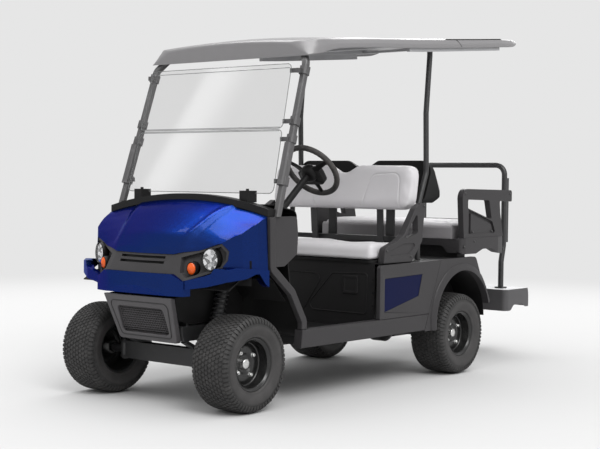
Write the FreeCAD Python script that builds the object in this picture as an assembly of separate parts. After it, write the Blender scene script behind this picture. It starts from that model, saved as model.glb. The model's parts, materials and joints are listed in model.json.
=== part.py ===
import FreeCAD, Part
import math
import os

from FreeCAD import Rotation, Vector

# Four-seat golf cart with a rear-facing rear bench.
# Millimetres. +Z is up, the front faces -Y and the driver's side is +X.
# The cart is laid out from the front axle line (Y = 0 there) and is moved
# as it is written, so that the origin lies at the bottom centre of its box.

# Driving dimensions
WHEELBASE = 1956.0
FRONT_OVERHANG = 290.0
REAR_OVERHANG = 1184.0
FRONT_TRACK = 1000.0
REAR_TRACK = 1033.0
TYRE_RADIUS = 254.0
TYRE_WIDTH = 240.0
RIM_RADIUS = 127.0
BODY_HALF = 620.0
FLOOR_TOP = 353.0
BELT_HEIGHT = 729.0
SEAT_TOP = 856.0

# Clearances and overruns shared by every piece
FIT = 0.3
RUNNING = 6.0
OVERRUN = 20.0
PANEL = 5.0

LENGTH = FRONT_OVERHANG + WHEELBASE + REAR_OVERHANG
FRONT_AXLE_Y = FRONT_OVERHANG - LENGTH / 2
AXLE_Z = TYRE_RADIUS
REAR_Y = WHEELBASE


# Drawing helpers

def place(plane, u, v, w):
    """Point of an outline (u, v) at level w along the named axis."""
    if plane == "X":
        return Vector(w, u, v)
    if plane == "Y":
        return Vector(u, w, v)
    return Vector(u, v, w)


def rounded(points, closed=True):
    """Edges of a polyline whose corners (u, v, radius) are rounded."""
    count = len(points)
    ends = []
    for index in range(count):
        here = points[index]
        radius = here[2] if len(here) > 2 else 0
        corner = Vector(here[0], here[1], 0)
        inside = closed or 0 < index < count - 1
        if not radius or not inside:
            ends.append((corner, corner, corner))
            continue
        before = points[index - 1]
        after = points[(index + 1) % count]
        back = (Vector(before[0], before[1], 0) - corner).normalize()
        ahead = (Vector(after[0], after[1], 0) - corner).normalize()
        half = back.getAngle(ahead) / 2
        reach = radius / math.tan(half)
        middle = (back + ahead).normalize()
        centre = corner + middle * (radius / math.sin(half))
        ends.append((corner + back * reach, centre - middle * radius, corner + ahead * reach))
    edges = []
    for index in range(count):
        start, middle, end = ends[index]
        if start != end:
            edges.append(("arc", start, middle, end))
        if closed or index < count - 1:
            following = ends[(index + 1) % count][0]
            if (following - end).Length > 0:
                edges.append(("line", end, following))
    return edges


def outline_wire(plane, points, level, closed=True):
    """Wire of a rounded outline, lying in a plane across the named axis."""
    shapes = []
    for kind, *marks in rounded(points, closed):
        corners = [place(plane, mark.x, mark.y, level) for mark in marks]
        if kind == "arc":
            shapes.append(Part.Arc(*corners).toShape())
        else:
            shapes.append(Part.makeLine(*corners))
    return Part.Wire(shapes)


def slab(plane, points, low, high):
    """Solid of an outline between two levels along the named axis."""
    face = Part.Face(outline_wire(plane, points, low))
    return face.extrude(place(plane, 0, 0, high - low))


def strip(plane, path, width, low, high):
    """Bent bar: a path (u, v, bend radius) given a width and a depth."""
    half = width / 2
    sides = []
    for sign in (1, -1):
        side = []
        for index, mark in enumerate(path):
            here = Vector(mark[0], mark[1], 0)
            bend = mark[2] if len(mark) > 2 else 0
            near = []
            if index > 0:
                near.append((here - Vector(path[index - 1][0], path[index - 1][1], 0)).normalize())
            if index < len(path) - 1:
                near.append((Vector(path[index + 1][0], path[index + 1][1], 0) - here).normalize())
            normals = [Vector(-run.y, run.x, 0) for run in near]
            normal = normals[0] if len(normals) == 1 else (normals[0] + normals[1]).normalize()
            stretch = half / normal.dot(normals[0])
            shifted = here + normal * (sign * stretch)
            radius = 0
            if bend and len(near) == 2:
                turn = near[0].x * near[1].y - near[0].y * near[1].x
                radius = bend - half * sign * math.copysign(1, turn)
            side.append((shifted.x, shifted.y, radius))
        sides.append(side)
    return slab(plane, sides[0] + sides[1][::-1], low, high)


def box(x0, x1, y0, y1, z0, z1):
    """Block between two corners."""
    return Part.makeBox(x1 - x0, y1 - y0, z1 - z0, Vector(x0, y0, z0))


def rod(start, end, radius):
    """Round bar between two points."""
    run = end - start
    return Part.makeCylinder(radius, run.Length, start, run)


def run_wire(points, bend):
    """Straight runs through points that are joined by tangent arcs."""
    edges = []
    last = points[0]
    for index in range(1, len(points) - 1):
        corner = points[index]
        back = (points[index - 1] - corner).normalize()
        ahead = (points[index + 1] - corner).normalize()
        half = back.getAngle(ahead) / 2
        reach = bend / math.tan(half)
        middle = (back + ahead).normalize()
        start = corner + back * reach
        end = corner + ahead * reach
        crown = corner + middle * (bend / math.sin(half) - bend)
        edges.append(Part.makeLine(last, start))
        edges.append(Part.Arc(start, crown, end).toShape())
        last = end
    edges.append(Part.makeLine(last, points[-1]))
    return Part.Wire(edges)


def pipe(points, radius, bend):
    """Round bar along straight runs that are joined by tangent arcs."""
    section = Part.Wire(Part.makeCircle(radius, points[0], points[1] - points[0]))
    return run_wire(points, bend).makePipeShell([section], True, False)


def bar(points, width, bend):
    """Square bar with chamfered edges along runs that are joined by arcs."""
    run = (points[1] - points[0]).normalize()
    across = (Vector(1, 0, 0) - run * run.x).normalize()
    along = run.cross(across)
    half = width / 2
    flat = half * 2 / 3
    corners = [(half, flat), (flat, half), (-flat, half), (-half, flat),
               (-half, -flat), (-flat, -half), (flat, -half), (half, -flat)]
    marks = [points[0] + across * u + along * v for u, v in corners]
    section = Part.makePolygon(marks + marks[:1])
    return run_wire(points, bend).makePipeShell([section], True, False)


def turned(profile, centre, side):
    """Solid turned about the X axis through a centre, profile (x, radius)."""
    marks = [Vector(centre.x + side * x, centre.y, centre.z + radius) for x, radius in profile]
    face = Part.Face(Part.makePolygon(marks + marks[:1]))
    return face.revolve(centre, Vector(1, 0, 0), 360)


def both(shape):
    """The piece and its mirror image on the other side."""
    return [shape, shape.mirror(Vector(0, 0, 0), Vector(1, 0, 0))]


def save(name, shapes):
    """Write one node in the cart's own frame."""
    group = Part.makeCompound(list(shapes))
    group.translate(Vector(0, FRONT_AXLE_Y, 0))
    group.exportStep("parts/" + name + ".step")


# Wheels: tyre on a deep-dish steel rim, turned about the axle

RIM_HALF = 98.0
RIM_LIP = 140.0
RIM_WALL = 6.0
DISC_PLACE = 20.0
DISC_WALL = 9.0
HUB_RADIUS = 42.0
HUB_INNER = -44.0
CAP_RADIUS = 29.0
CAP_REACH = 50.0
SPINDLE_RADIUS = 16.0
SPINDLE_REACH = 8.0
TREAD_HALF = 97.0
BULGE_RADIUS = 205.0
SHOULDER_RADIUS = 244.0


def rim(centre, side):
    """Barrel with flared lips, dished disc, hub with a blind bore and cap."""
    seat = RIM_HALF - 2 * RIM_WALL
    inner = RIM_RADIUS - RIM_WALL
    disc_out = DISC_PLACE + DISC_WALL
    step = HUB_RADIUS + 2 * RIM_WALL
    profile = [
        (-RIM_HALF, RIM_LIP), (-RIM_HALF + RIM_WALL, RIM_LIP), (-seat, RIM_RADIUS),
        (seat, RIM_RADIUS), (RIM_HALF - RIM_WALL, RIM_LIP), (RIM_HALF, RIM_LIP),
        (RIM_HALF, RIM_LIP - RIM_WALL), (seat + RIM_WALL / 2, inner),
        (disc_out, inner), (disc_out + DISC_WALL, 2 * step), (disc_out + DISC_WALL, step),
        (disc_out, HUB_RADIUS), (disc_out, CAP_RADIUS), (CAP_REACH, CAP_RADIUS - RIM_WALL),
        (CAP_REACH, 0), (SPINDLE_REACH + FIT, 0), (SPINDLE_REACH + FIT, SPINDLE_RADIUS + FIT),
        (HUB_INNER, SPINDLE_RADIUS + FIT), (HUB_INNER, HUB_RADIUS), (DISC_PLACE, HUB_RADIUS),
        (DISC_PLACE + DISC_WALL, step), (DISC_PLACE + DISC_WALL, 2 * step - DISC_WALL),
        (DISC_PLACE, inner), (-seat - RIM_WALL / 2, inner), (-RIM_HALF, RIM_LIP - RIM_WALL)]
    return turned(profile, centre, side)


def tyre(centre, side):
    """Low, wide tyre whose beads seat on the rim inside its lips."""
    seat = RIM_HALF - 2 * RIM_WALL
    half = TYRE_WIDTH / 2
    lip = RIM_LIP + FIT
    crown = TYRE_RADIUS - RIM_WALL / 4
    right = [
        (seat - FIT, RIM_RADIUS + FIT), (RIM_HALF - RIM_WALL - FIT, lip), (RIM_HALF, lip),
        (half - RIM_WALL, (lip + BULGE_RADIUS) / 2), (half, BULGE_RADIUS),
        (half - RIM_WALL, SHOULDER_RADIUS - 2 * RIM_WALL),
        (TREAD_HALF, SHOULDER_RADIUS + RIM_WALL / 2), (TREAD_HALF / 2, crown), (0, TYRE_RADIUS)]
    left = [(-x, radius) for x, radius in right[-2::-1]]
    return turned(right + left, centre, side)


# Front suspension: beam axle with forked ends, leaf springs and dampers

KINGPIN_OFFSET = 140.0
KINGPIN_RADIUS = 12.0
BOSS_RADIUS = 24.0
BOSS_HALF = 34.0
LUG = 14.0
BEAM_DEPTH = 56.0
BEAM_HEIGHT = 96.0
FORK_DEPTH = 44.0
ARM_LENGTH = 150.0
ARM_WIDTH = 22.0
ARM_HEIGHT = 22.0
TIE_ROD_RADIUS = 11.0
TIE_EYE_RADIUS = 15.0
TIE_PIN_RADIUS = 6.0
KINGPIN_X = FRONT_TRACK / 2 - KINGPIN_OFFSET
FORK_IN = KINGPIN_X - BOSS_RADIUS - RUNNING


def front_axle():
    """Beam with a fork at each end that holds the kingpin boss."""
    lug_in = BOSS_HALF + FIT
    lug_out = lug_in + LUG
    low = AXLE_Z - BEAM_HEIGHT / 2
    beam = box(-FORK_IN, FORK_IN, -BEAM_DEPTH / 2, BEAM_DEPTH / 2, low, low + BEAM_HEIGHT)
    taper = box(FORK_IN - 2 * BEAM_DEPTH, FORK_IN, -BEAM_DEPTH, -FORK_DEPTH / 2, low, low + BEAM_HEIGHT)
    behind = box(FORK_IN - 2 * BEAM_DEPTH, FORK_IN, FORK_DEPTH / 2, BEAM_DEPTH, low, low + BEAM_HEIGHT)
    for piece in both(taper) + both(behind):
        beam = beam.cut(piece)
    for sign in (1, -1):
        for bottom in (AXLE_Z + lug_in, AXLE_Z - lug_out):
            lug = Part.makeCylinder(BOSS_RADIUS, LUG, Vector(sign * KINGPIN_X, 0, bottom))
            x0, x1 = sorted((sign * (FORK_IN - LUG), sign * KINGPIN_X))
            lug = lug.fuse(box(x0, x1, -FORK_DEPTH / 2, FORK_DEPTH / 2, bottom, bottom + LUG))
            beam = beam.fuse(lug)
        bore = Part.makeCylinder(KINGPIN_RADIUS + FIT, 2 * lug_out + 2 * OVERRUN,
                                 Vector(sign * KINGPIN_X, 0, AXLE_Z - lug_out - OVERRUN))
        beam = beam.cut(bore)
    return beam.removeSplitter()


def knuckle(side):
    """Boss with its kingpin, spindle and rearward steering arm."""
    x = side * KINGPIN_X
    lug_out = BOSS_HALF + FIT + LUG
    head = LUG / 2
    body = Part.makeCylinder(BOSS_RADIUS, 2 * BOSS_HALF, Vector(x, 0, AXLE_Z - BOSS_HALF))
    pin_low = AXLE_Z - lug_out - head
    body = body.fuse(Part.makeCylinder(KINGPIN_RADIUS, 2 * (lug_out + head), Vector(x, 0, pin_low)))
    for bottom in (AXLE_Z + lug_out + FIT, AXLE_Z - lug_out - FIT - head):
        body = body.fuse(Part.makeCylinder(BOSS_RADIUS - head, head, Vector(x, 0, bottom)))
    spindle_end = side * (FRONT_TRACK / 2 + SPINDLE_REACH)
    body = body.fuse(rod(Vector(x, 0, AXLE_Z), Vector(spindle_end, 0, AXLE_Z), SPINDLE_RADIUS))
    collar_end = side * (FRONT_TRACK / 2 + HUB_INNER - RUNNING)
    body = body.fuse(rod(Vector(x, 0, AXLE_Z), Vector(collar_end, 0, AXLE_Z), SPINDLE_RADIUS + RUNNING))
    half = ARM_WIDTH / 2
    arm = box(x - half, x + half, 0, ARM_LENGTH, AXLE_Z - ARM_HEIGHT / 2, AXLE_Z + ARM_HEIGHT / 2)
    arm = arm.fuse(Part.makeCylinder(TIE_EYE_RADIUS, ARM_HEIGHT,
                                     Vector(x, ARM_LENGTH, AXLE_Z - ARM_HEIGHT / 2)))
    body = body.fuse(arm)
    eye = Part.makeCylinder(TIE_PIN_RADIUS + FIT, 2 * ARM_HEIGHT, Vector(x, ARM_LENGTH, AXLE_Z - ARM_HEIGHT))
    return body.cut(eye).removeSplitter()


def tie_rod():
    """Bar below the two steering arms with a pin up through each eye."""
    low = AXLE_Z - ARM_HEIGHT / 2 - FIT - 2 * TIE_ROD_RADIUS
    bar = rod(Vector(-KINGPIN_X, ARM_LENGTH, low + TIE_ROD_RADIUS),
              Vector(KINGPIN_X, ARM_LENGTH, low + TIE_ROD_RADIUS), TIE_ROD_RADIUS)
    for sign in (1, -1):
        foot = Vector(sign * KINGPIN_X, ARM_LENGTH, low)
        bar = bar.fuse(Part.makeCylinder(TIE_EYE_RADIUS, 2 * TIE_ROD_RADIUS, foot))
        top = AXLE_Z + ARM_HEIGHT / 2 + FIT
        bar = bar.fuse(Part.makeCylinder(TIE_PIN_RADIUS, top + TIE_PIN_RADIUS - low, foot))
        nut = Vector(foot.x, foot.y, top)
        bar = bar.fuse(Part.makeCylinder(TIE_EYE_RADIUS - TIE_PIN_RADIUS / 2, TIE_PIN_RADIUS, nut))
    return bar.removeSplitter()


# Ladder frame

RAIL_X = 215.0
RAIL_WIDTH = 50.0
RAIL_HEIGHT = 80.0
RAIL_BEND = 90.0
RAIL_END_Y = 2990.0
FRONT_RAIL_Z = 395.0
REAR_ARCH_Z = 470.0
FOOTREST_TOP = 470.0
FOOTREST_SKIN = 6.0
CROSS_WIDTH = 45.0
CROSS_HEIGHT = 50.0
FLOOR_SKIN = 8.0
OUTRIGGER_HALF = BODY_HALF - 65.0
MID_RAIL_Z = FLOOR_TOP - FLOOR_SKIN - RAIL_HEIGHT / 2
STEP_RAIL_Z = FOOTREST_TOP - FOOTREST_SKIN - RAIL_HEIGHT / 2
RAIL_MARKS = [(-160.0, FRONT_RAIL_Z), (300.0, FRONT_RAIL_Z, RAIL_BEND), (480.0, MID_RAIL_Z, RAIL_BEND),
              (1560.0, MID_RAIL_Z, RAIL_BEND), (1700.0, REAR_ARCH_Z, RAIL_BEND),
              (2190.0, REAR_ARCH_Z, RAIL_BEND), (2310.0, STEP_RAIL_Z, RAIL_BEND),
              (RAIL_END_Y, STEP_RAIL_Z)]
CROSS_PLACES = [(-100.0, FRONT_RAIL_Z), (200.0, FRONT_RAIL_Z), (1800.0, REAR_ARCH_Z),
                (2120.0, REAR_ARCH_Z), (2900.0, STEP_RAIL_Z)]
OUTRIGGER_PLACES = [560.0, 1020.0, 1500.0]
TOWER_ARM_X = 285.0
TOWER_Y = 118.0
TOWER_DEPTH = 30.0
TOWER_TOP = 640.0
HORN_Y = -118.0
HORN_Z = 640.0
HORN_WALL = 12.0
COIL_RADIUS = 28.0
TRAY_TOP = 855.0
TRAY_FLOOR = 10.0
RISER_Y = 2130.0
RISER_TOP = TRAY_TOP - 2 * OVERRUN - TRAY_FLOOR


def frame():
    """Two side rails that step up over the axles, cross members and outriggers."""
    inner = RAIL_X - RAIL_WIDTH / 2
    rail = strip("X", RAIL_MARKS, RAIL_HEIGHT, inner, inner + RAIL_WIDTH)
    left, right = both(rail)
    ladder = left.fuse(right)
    for y, z in CROSS_PLACES:
        ladder = ladder.fuse(box(-RAIL_X, RAIL_X, y - CROSS_WIDTH / 2, y + CROSS_WIDTH / 2,
                                 z - CROSS_HEIGHT / 2, z + CROSS_HEIGHT / 2))
    for y in OUTRIGGER_PLACES:
        ladder = ladder.fuse(box(-RAIL_X, RAIL_X, y - CROSS_WIDTH / 2, y + CROSS_WIDTH / 2,
                                 MID_RAIL_Z - CROSS_HEIGHT / 2, MID_RAIL_Z + CROSS_HEIGHT / 2))
    for sign in (1, -1):
        x0, x1 = sorted((sign * inner, sign * (TOWER_ARM_X + COIL_RADIUS)))
        arm = box(x0, x1, TOWER_Y - TOWER_DEPTH / 2, TOWER_Y + TOWER_DEPTH / 2, TOWER_TOP, TOWER_TOP + TOWER_DEPTH / 2)
        x0, x1 = sorted((sign * inner, sign * (inner + TOWER_DEPTH / 2)))
        post = box(x0, x1, TOWER_Y - TOWER_DEPTH / 2, TOWER_Y + TOWER_DEPTH / 2, FRONT_RAIL_Z, TOWER_TOP)
        x0, x1 = sorted((sign * inner, sign * (inner + RAIL_WIDTH)))
        riser = box(x0, x1, RISER_Y - CROSS_WIDTH / 2, RISER_Y + CROSS_WIDTH / 2, REAR_ARCH_Z, RISER_TOP)
        horn = strip("X", [(HORN_Y, FRONT_RAIL_Z), (HORN_Y, HORN_Z, HORN_WALL), (BUMPER_BACK_Y + FIT, HORN_Z)],
                     HORN_WALL, x0, x1)
        ladder = ladder.fuse(arm).fuse(post).fuse(riser).fuse(horn)
    return ladder.cut(grille_block(FIT)).removeSplitter()


def outriggers():
    """Arms that carry the floor and the sills outside the side rails."""
    top = FLOOR_TOP - FLOOR_SKIN
    start = RAIL_X + RAIL_WIDTH / 2 + FIT
    arms = []
    for y in OUTRIGGER_PLACES:
        arms += both(box(start, OUTRIGGER_HALF, y - CROSS_WIDTH / 2, y + CROSS_WIDTH / 2, top - CROSS_HEIGHT, top))
    return arms


# Springs and dampers

LEAF_WIDTH = 44.0
LEAF_THICK = 18.0
FRONT_LEAF_HALF = 118.0
REAR_LEAF_HALF = 190.0
DAMPER_RADIUS = 15.0
DAMPER_FOOT_Y = 8.0


def leaf_spring(centre_y, seat_z, eye_z, reach):
    """Arched leaf whose middle rests on the axle and whose ends reach the rail."""
    low = RAIL_X - LEAF_WIDTH / 2
    half = LEAF_THICK / 2
    path = [(centre_y - reach, eye_z - half), (centre_y - reach / 3, seat_z + half, reach / 2),
            (centre_y + reach / 3, seat_z + half, reach / 2), (centre_y + reach, eye_z - half)]
    return strip("X", path, LEAF_THICK, low, low + LEAF_WIDTH)


def damper(foot, head):
    """Slim damper with a coil sleeve round its upper body."""
    run = head - foot
    share = 0.22
    sleeve = rod(foot + run * share, head - run * (share / 2), COIL_RADIUS)
    return rod(foot, head, DAMPER_RADIUS).fuse(sleeve).removeSplitter()


def front_springs():
    """Two leaf springs over the beam and two leaning coil dampers."""
    beam_top = AXLE_Z + BEAM_HEIGHT / 2
    leaf = leaf_spring(0, beam_top, FRONT_RAIL_Z - RAIL_HEIGHT / 2 + LEAF_THICK / 3, FRONT_LEAF_HALF)
    foot = Vector(TOWER_ARM_X, DAMPER_FOOT_Y, beam_top - DAMPER_RADIUS)
    strut = damper(foot, Vector(TOWER_ARM_X, TOWER_Y, TOWER_TOP + DAMPER_RADIUS))
    carriers = frame().fuse(front_axle())
    below = box(0, BODY_HALF, -BODY_HALF, BODY_HALF, 0, beam_top)
    above = box(0, BODY_HALF, -BODY_HALF, BODY_HALF, TOWER_TOP, 2 * TOWER_TOP)
    return both(leaf.cut(carriers)) + both(strut.cut(below).cut(above))


# Rear axle with differential, drums and drive motor

AXLE_TUBE = 38.0
DRUM_RADIUS = 92.0
DRUM_DEPTH = 42.0
DRUM_INNER = -96.0
CASE_RADIUS = 98.0
CASE_HALF = 90.0
MOTOR_RADIUS = 82.0
MOTOR_LENGTH = 240.0


def rear_axle():
    """Axle tube, differential case, brake drums and the two wheel shafts."""
    centre = Vector(0, REAR_Y, AXLE_Z)
    drum_in = REAR_TRACK / 2 + DRUM_INNER
    drum_out = drum_in + DRUM_DEPTH
    shaft_end = REAR_TRACK / 2 + SPINDLE_REACH
    half = [(0, CASE_RADIUS), (CASE_HALF / 2, CASE_RADIUS), (CASE_HALF, CASE_RADIUS / 2), (CASE_HALF, AXLE_TUBE),
            (drum_in, AXLE_TUBE), (drum_in, DRUM_RADIUS), (drum_out, DRUM_RADIUS),
            (drum_out, SPINDLE_RADIUS), (shaft_end, SPINDLE_RADIUS), (shaft_end, 0)]
    other = [(-x, radius) for x, radius in half[:0:-1]]
    return turned(half + other, centre, 1)


def drive_motor():
    """Plain motor block bolted to the rear of the differential case."""
    start = Vector(0, REAR_Y + CASE_RADIUS + FIT, AXLE_Z)
    return rod(start, start + Vector(0, MOTOR_LENGTH, 0), MOTOR_RADIUS)


def rear_springs():
    """Leaf springs between the rear axle and the arched rails."""
    seat = AXLE_Z + AXLE_TUBE
    leaf = leaf_spring(REAR_Y, seat + FIT, REAR_ARCH_Z - RAIL_HEIGHT / 2 + LEAF_THICK / 3,
                       REAR_LEAF_HALF)
    return both(leaf.cut(frame()))


# Floor, pedals and sills

SEAM_TOP_Y = 1724.0
SEAM_LOW_Y = 1550.0
SEAM_LOW_Z = 300.0


def seam_y(z):
    """Where the sloping seam between side panel and rear fender is at a height."""
    share = (z - SEAM_LOW_Z) / (BELT_HEIGHT - SEAM_LOW_Z)
    return SEAM_LOW_Y + (SEAM_TOP_Y - SEAM_LOW_Y) * share


FLOOR_HALF = BODY_HALF - 64.0
FLOOR_FRONT_Y = 470.0
TOE_FOOT_Y = 350.0
TOE_TOP_Y = 318.0
TOE_MID_Z = 600.0
TOE_TOP_Z = 786.0
POD_FRONT_Y = 1108.0
PEDAL_X = [170.0, 360.0]
PEDAL_WIDTHS = [110.0, 80.0]
PEDAL_HEIGHT = 130.0
PEDAL_LOW = 440.0
PEDAL_Y = 430.0
SILL_INNER = BODY_HALF - 60.0
SILL_FRONT_Y = 364.0
SILL_LOW = 306.0
SILL_TOP = 404.0
SILL_EDGE = 12.0


def floor_pan():
    """Flat floor that turns up into the toe board."""
    half = FLOOR_SKIN / 2
    path = [(POD_FRONT_Y - FIT, FLOOR_TOP - half), (FLOOR_FRONT_Y, FLOOR_TOP - half, RAIL_BEND),
            (TOE_FOOT_Y, TOE_MID_Z, RAIL_BEND), (TOE_TOP_Y, TOE_TOP_Z)]
    return strip("X", path, FLOOR_SKIN, -FLOOR_HALF, FLOOR_HALF)


def pedals():
    """Brake and accelerator pads on arms from the toe board."""
    pads = []
    toe = floor_pan()
    behind = toe.fuse(toe.translated(Vector(0, -OVERRUN, 0)))
    for x, width in zip(PEDAL_X, PEDAL_WIDTHS):
        low_y = PEDAL_Y + PEDAL_HEIGHT / 3
        path = [(low_y, PEDAL_LOW), (PEDAL_Y, PEDAL_LOW + PEDAL_HEIGHT)]
        pad = strip("X", path, SILL_EDGE, x - width / 2, x + width / 2)
        arm = [(TOE_TOP_Y, TOE_TOP_Z - PEDAL_HEIGHT / 2),
               (PEDAL_Y, PEDAL_LOW + PEDAL_HEIGHT, SILL_EDGE),
               (PEDAL_Y, PEDAL_LOW + PEDAL_HEIGHT * 2 / 3)]
        lever = strip("X", arm, SILL_EDGE, x - SILL_EDGE, x + SILL_EDGE).cut(behind)
        pads.append(pad.fuse(lever).removeSplitter())
    return pads


def rocker_panels():
    """Moulded sill below each door opening."""
    outline = [(SILL_FRONT_Y, SILL_LOW), (seam_y(SILL_LOW) - FIT, SILL_LOW), (seam_y(SILL_TOP) - FIT, SILL_TOP),
               (SILL_FRONT_Y + SILL_EDGE, SILL_TOP)]
    return both(slab("X", outline, SILL_INNER, BODY_HALF))


# Nose: hood, fascia, bumper, lamps and grille

NOSE_LOW = 700.0
NOSE_PLAN_RISE = 180.0
NOSE_HIGH = 1130.0
HOOD_WALL = 4.0
HOOD_REAR_Y = 106.0
# Plan of the nose at its base and one rise higher: (x, y) from the middle to the rear corner
NOSE_BASE = [(0.0, -270.0), (240.0, -250.0), (318.0, -226.0), (480.0, -110.0), (560.0, -36.0), (598.0, 40.0),
             (602.0, HOOD_REAR_Y)]
NOSE_RISEN = [(0.0, -200.0), (217.0, -174.0), (302.0, -150.0), (470.0, -108.0), (551.0, -38.0), (588.0, 40.0),
              (596.0, HOOD_REAR_Y)]
# Crown line of the nose: (y, height in the middle, drop at the reference half width)
CROWN_REACH = 600.0
CROWN_MARKS = [(-300.0, 735.0, 420.0), (-262.0, 778.0, 390.0), (-225.0, 824.0, 306.0), (-190.0, 868.0, 240.0),
               (-150.0, 908.0, 160.0), (-107.0, 942.0, 98.0), (-60.0, 978.0, 76.0), (20.0, 1038.0, 72.0),
               (HOOD_REAR_Y, 1086.0, 72.0), (HOOD_REAR_Y + OVERRUN, 1094.0, 72.0)]
HOOD_SKIRT = [(-166.0, 772.0), (-105.0, 756.0), (20.0, 748.0), (HOOD_REAR_Y + OVERRUN, 736.0)]
FACE_REAR_Y = -60.0
FASCIA_OUTLINE = [(217.0, 815.0), (468.0, 881.0), (500.0, 838.0), (496.0, 790.0), (470.0, 745.0), (315.0, 681.0),
                  (250.0, 716.0)]
FASCIA_LOW = 726.0
FASCIA_DEPTH = 30.0
POD_POCKET = [(262.0, 800.0), (462.0, 862.0), (486.0, 832.0), (484.0, 794.0), (462.0, 757.0), (318.0, 697.0),
              (280.0, 722.0)]
POD_POCKET_DEPTH = 22.0
LAMP_WAY = Vector(0.5, -0.82, 0).normalize()
LAMP_CENTRE = Vector(418.0, -132.0, 794.0)
LAMP_RADIUS = 50.0
SIGNAL_CENTRE = Vector(333.0, -178.0, 746.0)
SIGNAL_RADIUS = 36.0
SLOT_HALF = 165.0
SLOT_HEIGHT = 13.0
SLOT_PLACES = [790.0, 764.0]


def nose_plan(shrink, z):
    """Closed plan wire of the nose at a height, moved in by a wall."""
    share = (z - NOSE_LOW) / NOSE_PLAN_RISE
    right = []
    for (x0, y0), (x1, y1) in zip(NOSE_BASE, NOSE_RISEN):
        x = x0 + (x1 - x0) * share
        y = y0 + (y1 - y0) * share
        right.append(Vector(max(x - shrink, 0), y + shrink, z))
    left = [Vector(-mark.x, mark.y, z) for mark in right[:0:-1]]
    marks = left + right
    return Part.makePolygon(marks + marks[:1])


def nose_crown(shrink):
    """Block below the crowned top of the nose."""
    wires = []
    reach = BODY_HALF + OVERRUN
    base = NOSE_LOW / 4
    for y, crown, drop in CROWN_MARKS:
        side = crown - drop * (reach / CROWN_REACH) ** 2
        arc = Part.Arc(Vector(reach, y, side - shrink), Vector(0, y, crown - shrink), Vector(-reach, y, side - shrink))
        wires.append(Part.Wire([
            Part.makeLine(Vector(-reach, y, base), Vector(reach, y, base)),
            Part.makeLine(Vector(reach, y, base), Vector(reach, y, side - shrink)),
            arc.toShape(),
            Part.makeLine(Vector(-reach, y, side - shrink), Vector(-reach, y, base))]))
    return Part.makeLoft(wires, True, True)


def nose_solid(shrink):
    """Nose block under its crown; shrink moves its skin inwards by a wall."""
    low = NOSE_LOW - (OVERRUN if shrink > 0 else 0)
    return Part.makeLoft([nose_plan(shrink, low), nose_plan(shrink, NOSE_HIGH)], True, True).common(
        nose_crown(shrink))


def fascia_outline(grow):
    """Front outline of the fascia: centre strip and both lamp pods."""
    middle = (FASCIA_OUTLINE[0][1] + FASCIA_LOW) / 2
    pod_middle = FASCIA_OUTLINE[3][0] / 2
    right = [(x + math.copysign(grow, x - pod_middle), z + math.copysign(grow, z - middle)) for x, z in FASCIA_OUTLINE]
    return [(-x, z) for x, z in right[::-1]] + right


def hood():
    """Blue cowl: the nose skin above and beside the fascia."""
    front = CROWN_MARKS[0][0] - OVERRUN
    shell = nose_solid(0).cut(nose_solid(HOOD_WALL))
    opening = slab("Y", fascia_outline(FIT), front, FACE_REAR_Y)
    half = BODY_HALF + OVERRUN
    low = NOSE_LOW - 2 * OVERRUN
    skirt = [(front, low), (front, HOOD_SKIRT[0][1])] + HOOD_SKIRT + [(HOOD_SKIRT[-1][0], low)]
    trimmed = shell.cut(opening).cut(slab("X", skirt, -half, half))
    return max(trimmed.Solids, key=lambda solid: solid.Volume)


def lamps():
    """Centre, way and radius of the head lamp and the signal of the left pod."""
    return ((LAMP_CENTRE, LAMP_RADIUS), (SIGNAL_CENTRE, SIGNAL_RADIUS))


def fascia():
    """Dark fascia behind the hood's front edge with two slots and two deep pods."""
    front = CROWN_MARKS[0][0] - OVERRUN
    wall = HOOD_WALL + FIT
    face = nose_solid(wall).cut(nose_solid(wall + FASCIA_DEPTH)).common(
        slab("Y", fascia_outline(0), front, FACE_REAR_Y))
    pocket = slab("Y", POD_POCKET, front, FACE_REAR_Y).cut(nose_solid(wall + POD_POCKET_DEPTH))
    for piece in both(pocket):
        face = face.cut(piece)
    for centre, radius in lamps():
        for hole in both(rod(centre + LAMP_WAY * FASCIA_DEPTH, centre - LAMP_WAY * 2 * FASCIA_DEPTH, radius + FIT)):
            face = face.cut(hole)
    for z in SLOT_PLACES:
        face = face.cut(box(-SLOT_HALF, SLOT_HALF, front, 0, z, z + SLOT_HEIGHT))
    return max(face.Solids, key=lambda solid: solid.Volume)


def lamp(centre, radius):
    """Round lamp unit with a domed front, set in its pod."""
    back = centre - LAMP_WAY * (2 * FASCIA_DEPTH)
    barrel = rod(centre - LAMP_WAY * (FASCIA_DEPTH / 2), back, radius)
    dome = Part.makeSphere(radius * math.sqrt(2), centre - LAMP_WAY * (radius + FASCIA_DEPTH / 4))
    front = rod(centre - LAMP_WAY * (FASCIA_DEPTH / 2), centre + LAMP_WAY * FASCIA_DEPTH, radius)
    return barrel.fuse(front.common(dome)).removeSplitter()


BUMPER_LOW = 602.0
BUMPER_TOP = 725.0
BUMPER_HALF = 326.0
BUMPER_SWEEP = 50.0
BUMPER_BACK_Y = -190.0
BUMPER_CREASE = 648.0
WING_WIDTH = 44.0
WING_END_Y = 100.0
WING_PATH = [(306.0, -216.0), (440.0, -184.0, 70.0), (528.0, -134.0, 70.0), (581.0, -54.0, 70.0), (594.0, 30.0, 60.0),
             (594.0, WING_END_Y)]
WING_LOW = [(-300.0, 628.0), (-240.0, 634.0), (-205.0, 656.0), (-150.0, 683.0), (-60.0, 700.0), (0.0, 722.0),
            (24.0, 722.0), (70.0, 668.0), (WING_END_Y, 650.0)]


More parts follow.
